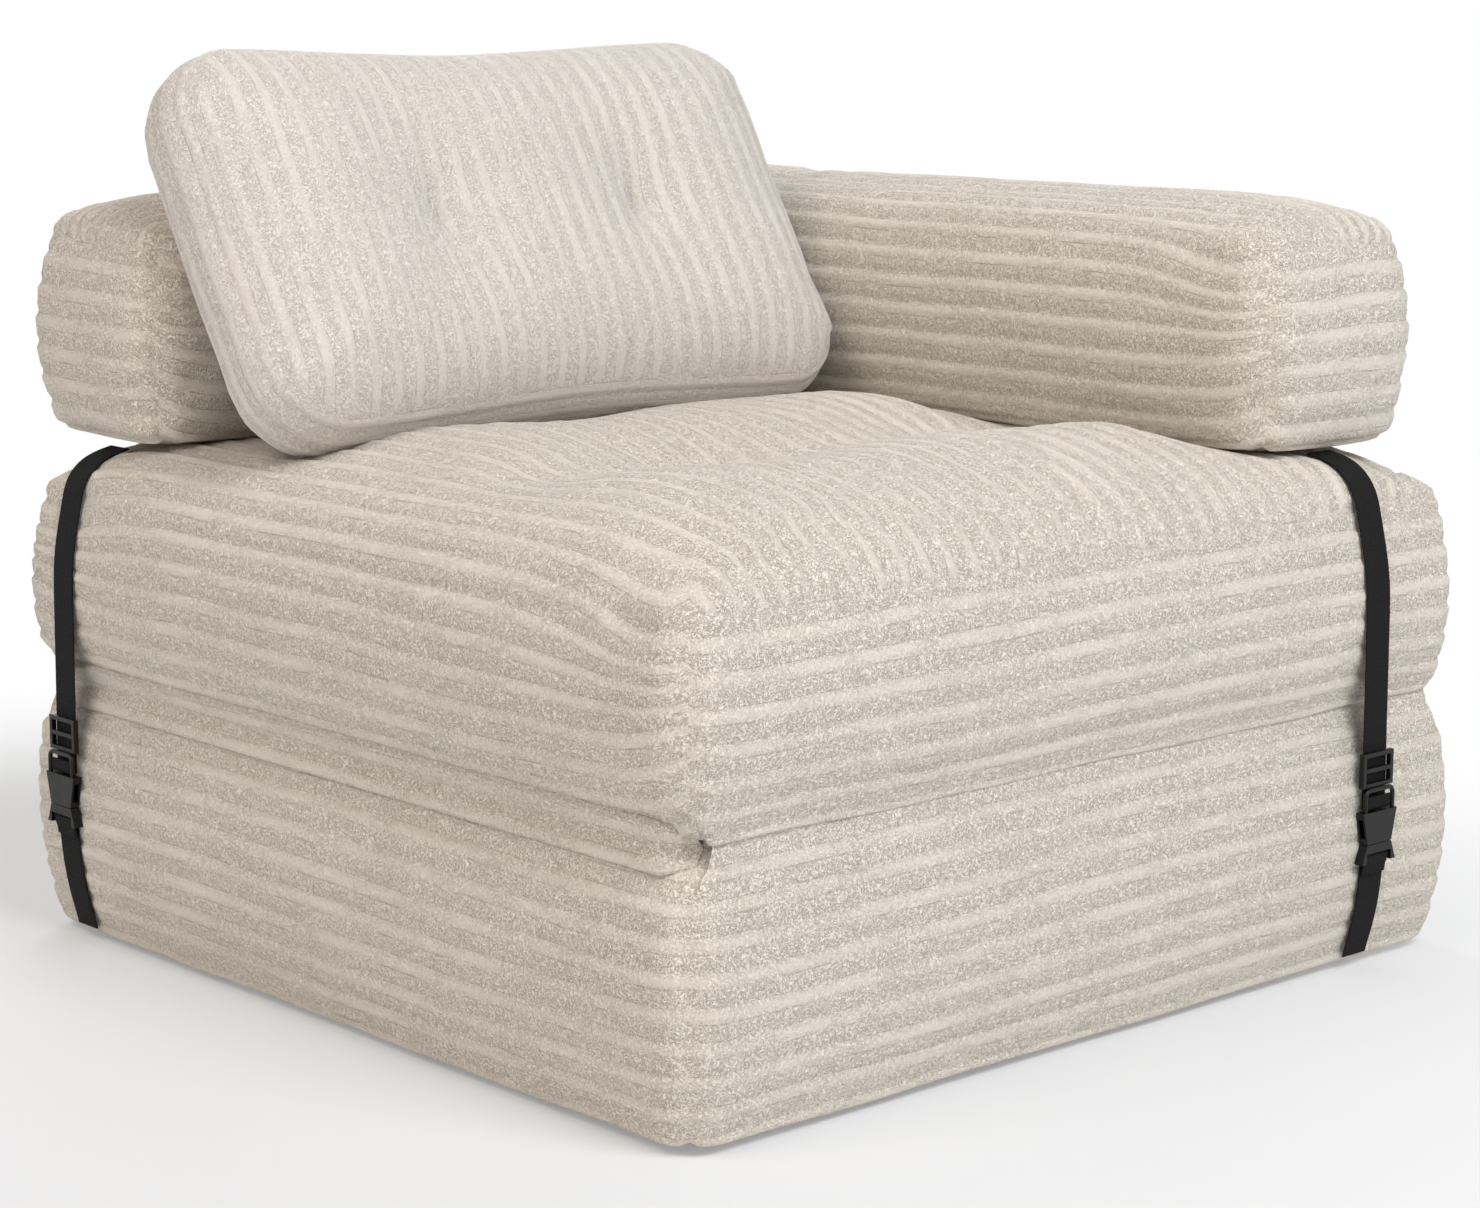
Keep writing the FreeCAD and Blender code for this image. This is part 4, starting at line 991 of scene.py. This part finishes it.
WEB_WIDTH = 0.032
WEB_HALF = 0.0008
WEB_STEP = 0.0022
STRAP_STEP = 0.003
CLOTH_OFF = 0.0012
EDGE_OUT = 0.0014
EDGE_LOW = 0.27
EDGE_TOP_COUNT = 14
EDGE_SIDE_COUNT = 30
BAR_OUT = 0.0192
BAR_WRAP = 0.0030
WRAP_COUNT = 13
SOCKET_BAR = 0.1315
PLUG_BAR = 0.0860
UPPER_TAIL = 0.009
UPPER_PASSES = 12
LOWER_TAIL = ((-0.0012, -0.016), (-0.0006, -0.010))
LOWER_PASSES = 8
DOWN_COUNT = 18
UNDER_COUNT = 10
UNDER_TURN = -22
LEFT_SPLIT = 0.230
STRAPS = {
    "front": SimpleNamespace(spot=(STRAP_X, -PAD_HALF), out=(0.0, -1.0), side=(1.0, 0.0),
                             rise=0.020, reach=0.052),
    "left": SimpleNamespace(spot=(-PAD_HALF, STRAP_Y), out=(-1.0, 0.0), side=(0.0, -1.0),
                            rise=0.030, reach=0.040),
}


def arc(centre, radius, start, stop, count):
    """Points on an arc, angles in degrees."""
    angles = np.radians(np.linspace(start, stop, count))
    return np.stack([centre[0] + radius * np.cos(angles), centre[1] + radius * np.sin(angles)], axis=-1)


def pulled_tight(points):
    """The points that a band touches when pulled over them, from a flat top down a side."""
    kept = [0]
    while kept[-1] < len(points) - 1:
        here = points[kept[-1]]
        ahead = points[kept[-1] + 1:] - here
        kept.append(kept[-1] + 1 + int(np.argmax(np.arctan2(ahead[:, 1], ahead[:, 0]))))
    return points[kept]


def evened(points, spacing):
    """Points at an even spacing along a line."""
    run = travel(points)
    even = np.linspace(0.0, run[-1], max(int(round(run[-1] / spacing)), 2) + 1)
    return np.stack([np.interp(even, run, points[:, axis]) for axis in range(2)], axis=-1)


def rounded_off(points, passes):
    for _ in range(passes):
        points[1:-1] = 0.25 * points[:-2] + 0.5 * points[1:-1] + 0.25 * points[2:]
    return points


def seat_edge(strap):
    """The seat's top edge where a strap crosses it."""
    down = np.linspace(SEAT_BOX.high, EDGE_LOW, EDGE_SIDE_COUNT + 1)[1:]
    level = np.concatenate([np.full(EDGE_TOP_COUNT, SEAT_BOX.high), down])
    inset = np.concatenate([np.linspace(strap.reach, 0.0, EDGE_TOP_COUNT), np.zeros(EDGE_SIDE_COUNT)])
    axis = 1 if strap.out[1] < 0 else 0
    face = inset - SEAT_BOX.half_s
    beside = np.full(len(level), strap.spot[1 - axis])
    w, s = (beside, face) if axis else (face, beside)
    points = seat_shape(soften(w, s, level, SEAT_BOX))
    return np.stack([-PAD_HALF - points[:, axis] + EDGE_OUT, points[:, 2] + CLOTH_OFF], axis=-1)


def upper_line(strap):
    """From under the bolster over the seat's edge, down to the socket's bar and round it."""
    bar = SOCKET_BAR + strap.rise
    edge = pulled_tight(np.concatenate([seat_edge(strap), [(BAR_OUT - BAR_WRAP, bar)]]))
    edge = rounded_off(evened(edge, STRAP_STEP), UPPER_PASSES)
    wrap = arc((BAR_OUT, bar), BAR_WRAP, 180, 360, WRAP_COUNT)[1:]
    tail = np.array([(BAR_OUT + BAR_WRAP, bar + UPPER_TAIL)])
    return np.concatenate([edge, wrap, tail])


def split(line, level):
    """A strap's line cut in two where it first comes down to a level."""
    place = int(np.argmax(line[:, 1] < level))
    return line[:place + 1], line[place:]


def lower_line(strap):
    """Round the plug's bar, down the base's face and in under it."""
    bar = PLUG_BAR + strap.rise
    low_seam = BASE_LOW + PAD_LOW_ROUND
    drop = bar - low_seam
    lean = BAR_OUT - BAR_WRAP - CLOTH_OFF
    radius = (lean ** 2 + drop ** 2) / (2 * lean)
    turn = -math.degrees(math.asin(drop / radius))
    tail = np.array([(BAR_OUT + out, bar + up) for out, up in LOWER_TAIL])
    wrap = arc((BAR_OUT, bar), BAR_WRAP, 0, 180, WRAP_COUNT)
    down = arc((BAR_OUT - BAR_WRAP - radius, bar), radius, 0, turn, DOWN_COUNT)[1:]
    under = arc((-PAD_LOW_ROUND, low_seam), PAD_LOW_ROUND + CLOTH_OFF, 0, UNDER_TURN, UNDER_COUNT)[1:]
    smooth = rounded_off(evened(np.concatenate([down, under]), STRAP_STEP), LOWER_PASSES)
    return np.concatenate([tail, wrap, smooth])


WEB_EDGE = [(-0.5, 0.25), (-0.485, 0.8), (-0.44, 1.0), (-0.2, 0.92), (0.0, 0.92), (0.2, 0.92), (0.44, 1.0),
            (0.485, 0.8), (0.5, 0.25)]
WEB_RING = np.array(WEB_EDGE + [(x, -t) for x, t in reversed(WEB_EDGE)])


def webbing(name, line, strap):
    """Flat webbing swept along its side view, with thicker selvedges."""
    line = evened(line, WEB_STEP)
    run = travel(line)
    ahead = np.gradient(line, axis=0)
    ahead /= np.linalg.norm(ahead, axis=1, keepdims=True)
    face = np.stack([-ahead[:, 1], ahead[:, 0]], axis=-1)
    spot, out, side = (np.array(way + (0.0,)) for way in (strap.spot, strap.out, strap.side))
    up = np.array((0.0, 0.0, 1.0))
    sideways = WEB_RING[:, 0] * WEB_WIDTH
    thick = WEB_RING[:, 1] * WEB_HALF
    planar = line[:, None, :] + face[:, None, :] * thick[None, :, None]
    points = spot + planar[..., :1] * out + planar[..., 1:] * up + sideways[None, :, None] * side
    rows, columns = points.shape[:2]
    index = np.arange(rows * columns).reshape(rows, columns)
    quads = grid_quads(np.hstack([index, index[:, :1]])).tolist()
    caps = [index[0].tolist(), index[-1, ::-1].tolist()]
    flats = np.stack(np.broadcast_arrays(run[:, None], sideways[None, :]), axis=-1)
    mesh = fabric_mesh(name, points.reshape(-1, 3), quads + caps, flats.reshape(-1, 2))
    work = bmesh.new()
    work.from_mesh(mesh)
    bmesh.ops.recalc_face_normals(work, faces=work.faces)
    for part in work.faces:
        part.smooth = len(part.verts) == 4
    work.to_mesh(mesh)
    work.free()
    piece = link(name, mesh, "webbing")
    return piece


def follow(band):
    """Bake a band's placement into its points."""
    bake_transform(band)


for name, strap in STRAPS.items():
    line = upper_line(strap)
    if name == "front":
        upper = webbing(name + "_upper_band", line, strap)
        follow(upper)
    else:
        above, below = split(line, LEFT_SPLIT)
        upper = webbing(name + "_upper_band", above, strap)
        end = webbing(name + "_end_band", below, strap)
        follow(upper)
        follow(end)
        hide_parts(name + "_upper_webbing")
    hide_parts(name + "_upper_webbing")
    lower = webbing(name + "_lower_band", lower_line(strap), strap)
    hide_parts(name + "_lower_webbing")
    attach(lower, "base")


# Buckles, sliders and pulls: the solids with rounded edges

def circle(sides):
    angles = [2.0 * math.pi * side / sides for side in range(sides)]
    return [(math.cos(angle), math.sin(angle)) for angle in angles]


def skin(work, rings):
    """Join rings of points into a rod closed at both ends."""
    sides = len(rings[0])
    for first, second in zip(rings, rings[1:]):
        for side in range(sides):
            after = (side + 1) % sides
            face = work.faces.new((first[side], first[after], second[after], second[side]))
            face.smooth = True
    work.faces.new(rings[0][::-1])
    work.faces.new(rings[-1])


def tube(work, points, radius, sides=10):
    """A round rod along points."""
    points = [Vector(point) for point in points]
    over = (points[1] - points[0]).normalized().orthogonal()
    rings = []
    for number, point in enumerate(points):
        before, after = points[max(number - 1, 0)], points[min(number + 1, len(points) - 1)]
        ahead = (after - before).normalized()
        over = (over - ahead * over.dot(ahead)).normalized()
        beside = ahead.cross(over)
        rings.append([work.verts.new(point + radius * (over * cos + beside * sin))
                      for cos, sin in circle(sides)])
    skin(work, rings)


def bevel(work, edges, width, steps):
    bmesh.ops.bevel(work, geom=edges, offset=width, segments=steps, profile=0.5, affect="EDGES",
                    clamp_overlap=True)


LOOP_HALF = 0.0187
LOOP_TURN = 0.0055
LOOP_TOP = 0.1463
LOOP_FOOT = 0.1240
LOOP_ROD = 0.0021
LOOP_BAR = 0.0019
LOOP_OUT = 0.0222
SOCKET_CUT = 0.1272
MERGE = 1e-5
FLAT_ANGLE = math.radians(2.0)
SHARP_ANGLE = math.radians(30.0)


def socket_loop(work, strap):
    """Trim the socket to its body, and give it a round wire-like loop with a bar for the webbing."""
    cut = Vector((0.0, 0.0, SOCKET_CUT + strap.rise))
    whole = work.verts[:] + work.edges[:] + work.faces[:]
    trimmed = bmesh.ops.bisect_plane(work, geom=whole, plane_co=cut, plane_no=(0, 0, 1), clear_outer=True)
    rim = [item for item in trimmed["geom_cut"] if isinstance(item, bmesh.types.BMEdge)]
    bmesh.ops.edgeloop_fill(work, edges=rim)

    def at(lateral, out, level):
        spot = Vector(strap.spot + (level + strap.rise,))
        return spot + Vector(strap.side + (0.0,)) * lateral + Vector(strap.out + (0.0,)) * out

    turn = arc((LOOP_HALF - LOOP_TURN, LOOP_TOP - LOOP_TURN), LOOP_TURN, 0, 90, 7)
    half = [(LOOP_HALF, LOOP_FOOT)] + [tuple(point) for point in turn]
    line = half + [(-x, z) for x, z in reversed(half)]
    tube(work, [at(x, LOOP_OUT, z) for x, z in line], LOOP_ROD)
    tube(work, [at(side * LOOP_HALF, BAR_OUT, SOCKET_BAR) for side in (-1, 1)], LOOP_BAR)


def rounded_copy(node, body, slot, width, strap=None):
    """A copy of a moulded or cast solid with its edges rounded."""
    work = bmesh.new()
    work.from_mesh(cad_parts[node].data)
    bmesh.ops.remove_doubles(work, verts=work.verts, dist=MERGE)
    bmesh.ops.dissolve_limit(work, angle_limit=FLAT_ANGLE, verts=work.verts, edges=work.edges)
    if strap is not None:
        socket_loop(work, strap)
    sharp = [edge for edge in work.edges
             if len(edge.link_faces) == 2 and edge.calc_face_angle(0.0) > SHARP_ANGLE]
    bevel(work, sharp, width, steps=3)
    for face in work.faces:
        face.smooth = True
    piece = link(node + "_rounded", mesh_of(work, node + "_rounded"), slot)
    piece.modifiers.new("even_normals", "WEIGHTED_NORMAL")
    settle(piece, body, slot, node)


for name, strap in STRAPS.items():
    rounded_copy(name + "_socket", name + "_socket", "buckle", width=0.0011, strap=strap)
    rounded_copy(name + "_plug", "base", "buckle", width=0.0010)
    rounded_copy(name + "_adjuster", name + "_adjuster", "buckle", width=0.0008)
    for arm in "ab":
        latch = "%s_latch_arm_%s" % (name, arm)
        rounded_copy(latch, latch, "buckle", width=0.0006)
for name in ("base", "seat", "bolster", "pillow"):
    for part in ("_zip_slider", "_zip_pull"):
        rounded_copy(name + part, name + part, "zip_metal", width=0.0004)


# Zips: a tape in the placket and a row of interlocking teeth

TAPE_HALF = 0.0066
TAPE_GAP = 0.0003
TAPE_THICK = 0.0006
TAPE_SINK = 0.0016
TOOTH_PITCH = 0.0021
TOOTH_SIDE = 0.0009
TOOTH_SINK = 0.0004
TOOTH_HALF = (0.0008, 0.0024, 0.0007)
TEETH_END = 0.006
STOP_END = 0.0025
STOP_SINK = 0.0002
STOP_HALF = (0.0012, 0.0034, 0.0009)
SMALL_BEVEL = 0.0003


def boxes_mesh(name, boxes, place):
    """One mesh of small bevelled boxes, each a centre and half sizes in the frame of place."""
    work = bmesh.new()
    for centre, half in boxes:
        made = bmesh.ops.create_cube(work, size=2.0)["verts"]
        bmesh.ops.scale(work, vec=half, verts=made)
        bmesh.ops.translate(work, vec=centre, verts=made)
    bevel(work, work.edges[:], SMALL_BEVEL, steps=1)
    work.transform(place)
    return mesh_of(work, name)


def zip_line(name, ends, out, raised):
    """Tape and teeth between two ends; the frame has X along the zip and Z out of the cloth."""
    start, stop = Vector(ends[0]), Vector(ends[1])
    run = (stop - start).length
    half = 0.5 * run
    ahead = (stop - start).normalized()
    turn = Matrix((ahead, out.cross(ahead), out)).transposed().to_4x4()
    place = Matrix.Translation(0.5 * (start + stop)) @ turn
    band_half = (half, 0.5 * TAPE_HALF - TAPE_GAP, TAPE_THICK)
    bands = [((0.0, side * 0.5 * TAPE_HALF, raised - TAPE_SINK), band_half) for side in (-1, 1)]
    tape = link(name + "_zip_band", boxes_mesh(name + "_zip_band", bands, place), "zip_tape")
    settle(tape, name, "zip_tape", name + "_zip_tape")
    boxes = []
    for number in range(int((run - 2 * TEETH_END) / TOOTH_PITCH)):
        along = -half + TEETH_END + TOOTH_PITCH * number
        boxes.append(((along, TOOTH_SIDE * (-1) ** number, raised - TOOTH_SINK), TOOTH_HALF))
    for side in (-1, 1):
        boxes.append(((side * (half - STOP_END), 0.0, raised - STOP_SINK), STOP_HALF))
    teeth = link(name + "_zip_teeth", boxes_mesh(name + "_zip_teeth", boxes, place), "zip_teeth")
    settle(teeth, name, "zip_tape")


for name, ends in (("base", BASE_ZIP), ("seat", SEAT_ZIP), ("bolster", BOLSTER_ZIP)):
    zip_line(name, ends, Vector((0, 1, 0)), raised=0.0)
zip_line("pillow", PILLOW_ZIP, Vector(pillow_turn @ np.array((0.0, 0.0, -1.0))), PILLOW_ZIP_RAISE)


# Tuft ties: crossed thread stitches at the floor of each tuft

THREAD_REACH = 0.0048
THREAD_RADIUS = 0.0009
THREAD_RINGS = 11
THREAD_SIDES = 8
THREAD_BOW = 0.0012
THREAD_SINK = 0.0004
KNOT_LIFT = 0.0006


def thread_cross(work, place):
    """Two crossing stitches, each a bowed thread, in the frame of place."""
    for turn in (45.0, 135.0):
        swing = place @ Matrix.Rotation(math.radians(turn), 4, "Z")
        rings = []
        for share in np.linspace(-1.0, 1.0, THREAD_RINGS):
            lift = THREAD_BOW * (1.0 - share ** 2) - THREAD_SINK
            ring = [Vector((share * THREAD_REACH, THREAD_RADIUS * cos, lift + THREAD_RADIUS * sin))
                    for cos, sin in circle(THREAD_SIDES)]
            rings.append([work.verts.new(swing @ dot) for dot in ring])
        skin(work, rings)


def ties(name, body, node, places):
    work = bmesh.new()
    for place in places:
        thread_cross(work, place)
    bmesh.ops.recalc_face_normals(work, faces=work.faces)
    settle(link(name, mesh_of(work, name), "thread"), body, "thread", node)


seat_knots = [Matrix.Translation((x, y, SEAT_TUFT_FLOOR + KNOT_LIFT)) for x, y in SEAT_TUFTS]
ties("seat_tuft_threads", "seat", "seat_tuft_ties", seat_knots)
pillow_place = Matrix.Translation(PILLOW_AT) @ Matrix.Rotation(PILLOW_TILT, 4, "X")
pillow_knots = [pillow_place @ Matrix.Translation((x, 0.0, PILLOW_TUFT_FLOOR + KNOT_LIFT))
                for x in PILLOW_TUFTS]
ties("pillow_tuft_threads", "pillow", "pillow_tuft_ties", pillow_knots)


# Finish on the solid that stays

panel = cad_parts["base_bottom_panel"]
panel.data.materials.clear()
panel.data.materials.append(MATERIALS["underside"])


# Floor, light and camera

FLOOR_REACH = 40.0
FLOOR_DARK = (0.52, 0.53, 0.54, 1.0)
FLOOR_PALE = (0.54, 0.55, 0.56, 1.0)
FLOOR_GLOW = 0.27
SHADOW_MIDDLE = (-0.30, 0.10, 0.0)
SHADOW_FADE = (0.70, 1.4)
SKY_LIGHT = 0.36
SKY_TINT = (1.0, 0.955, 0.925, 1.0)


def studio_floor():
    """Pale floor that keeps the shadow near the object and runs out to plain white."""
    floor = Shader("studio_floor", Roughness=0.9)
    mottle = floor.noise(floor.place(), scale=3.0)
    floor.finish(Base_Color=floor.mix(mottle, shade(246, 246, 246), shade(250, 250, 250)))
    matte = floor.join("BsdfDiffuse", floor.mix(mottle, FLOOR_DARK, FLOOR_PALE))
    shaded = floor.join("AddShader", matte, floor.join("Emission", WHITE, FLOOR_GLOW))
    away = floor.add("VectorMath", operation="DISTANCE")
    floor.put(floor.place(), away.inputs[0])
    floor.put(SHADOW_MIDDLE, away.inputs[1])
    faded = floor.spread(away.outputs["Value"], *SHADOW_FADE)
    shown = floor.join("MixShader", faded, shaded, floor.join("Emission", WHITE, 1.0))
    either = floor.join("MixShader", floor.seen(), floor.surface.outputs[0], shown)
    floor.put(either, floor.tree.nodes["Material Output"].inputs["Surface"])
    return floor.material


floor_mesh = bpy.data.meshes.new("floor")
floor_corners = [(-FLOOR_REACH, -FLOOR_REACH, 0.0), (FLOOR_REACH, -FLOOR_REACH, 0.0),
                 (FLOOR_REACH, FLOOR_REACH, 0.0), (-FLOOR_REACH, FLOOR_REACH, 0.0)]
floor_mesh.from_pydata(floor_corners, [], [(0, 1, 2, 3)])
floor = bpy.data.objects.new("floor", floor_mesh)
floor_mesh.materials.append(studio_floor())
scene.collection.objects.link(floor)


def area_light(name, place, target, size, power, tint):
    lamp = bpy.data.lights.new(name, "AREA")
    lamp.shape = "DISK"
    lamp.size = size
    lamp.energy = power
    lamp.color = tint
    light = bpy.data.objects.new(name, lamp)
    light.location = place
    light.rotation_euler = (Vector(target) - Vector(place)).to_track_quat("-Z", "Y").to_euler()
    scene.collection.objects.link(light)


area_light("front", place=(-0.3, -3.0, 3.4), target=(0.0, 0.0, 0.4), size=2.4,
           power=132.0, tint=(0.95, 0.965, 1.0))
area_light("fill", place=(-3.0, 0.0, 3.4), target=(0.0, 0.1, 0.5), size=2.4,
           power=55.0, tint=(1.0, 0.905, 0.815))
area_light("back", place=(1.8, 3.2, 2.4), target=(0.0, 0.0, 0.4), size=2.2,
           power=52.0, tint=(0.93, 0.97, 1.0))

world = bpy.data.worlds.new("studio")
scene.world = world
world.use_nodes = True
sky = Nodes(world.node_tree)
seen = sky.seen()
sky.fill(world.node_tree.nodes["Background"], Strength=sky.spread(seen, 0.0, 1.0, SKY_LIGHT, 1.0),
         Color=sky.mix(seen, SKY_TINT, WHITE))

lens = bpy.data.cameras.new("camera")
lens.sensor_width = 36.0
lens.lens = 83.90
camera = bpy.data.objects.new("camera", lens)
camera.location = (-2.0485, -2.2837, 0.8662)
camera.rotation_euler = Euler((math.radians(79.6491), 0.0, math.radians(-41.9837)), "XYZ")
scene.collection.objects.link(camera)
scene.camera = camera


def corners(box):
    return [[float(value) for value in corner] for corner in box]
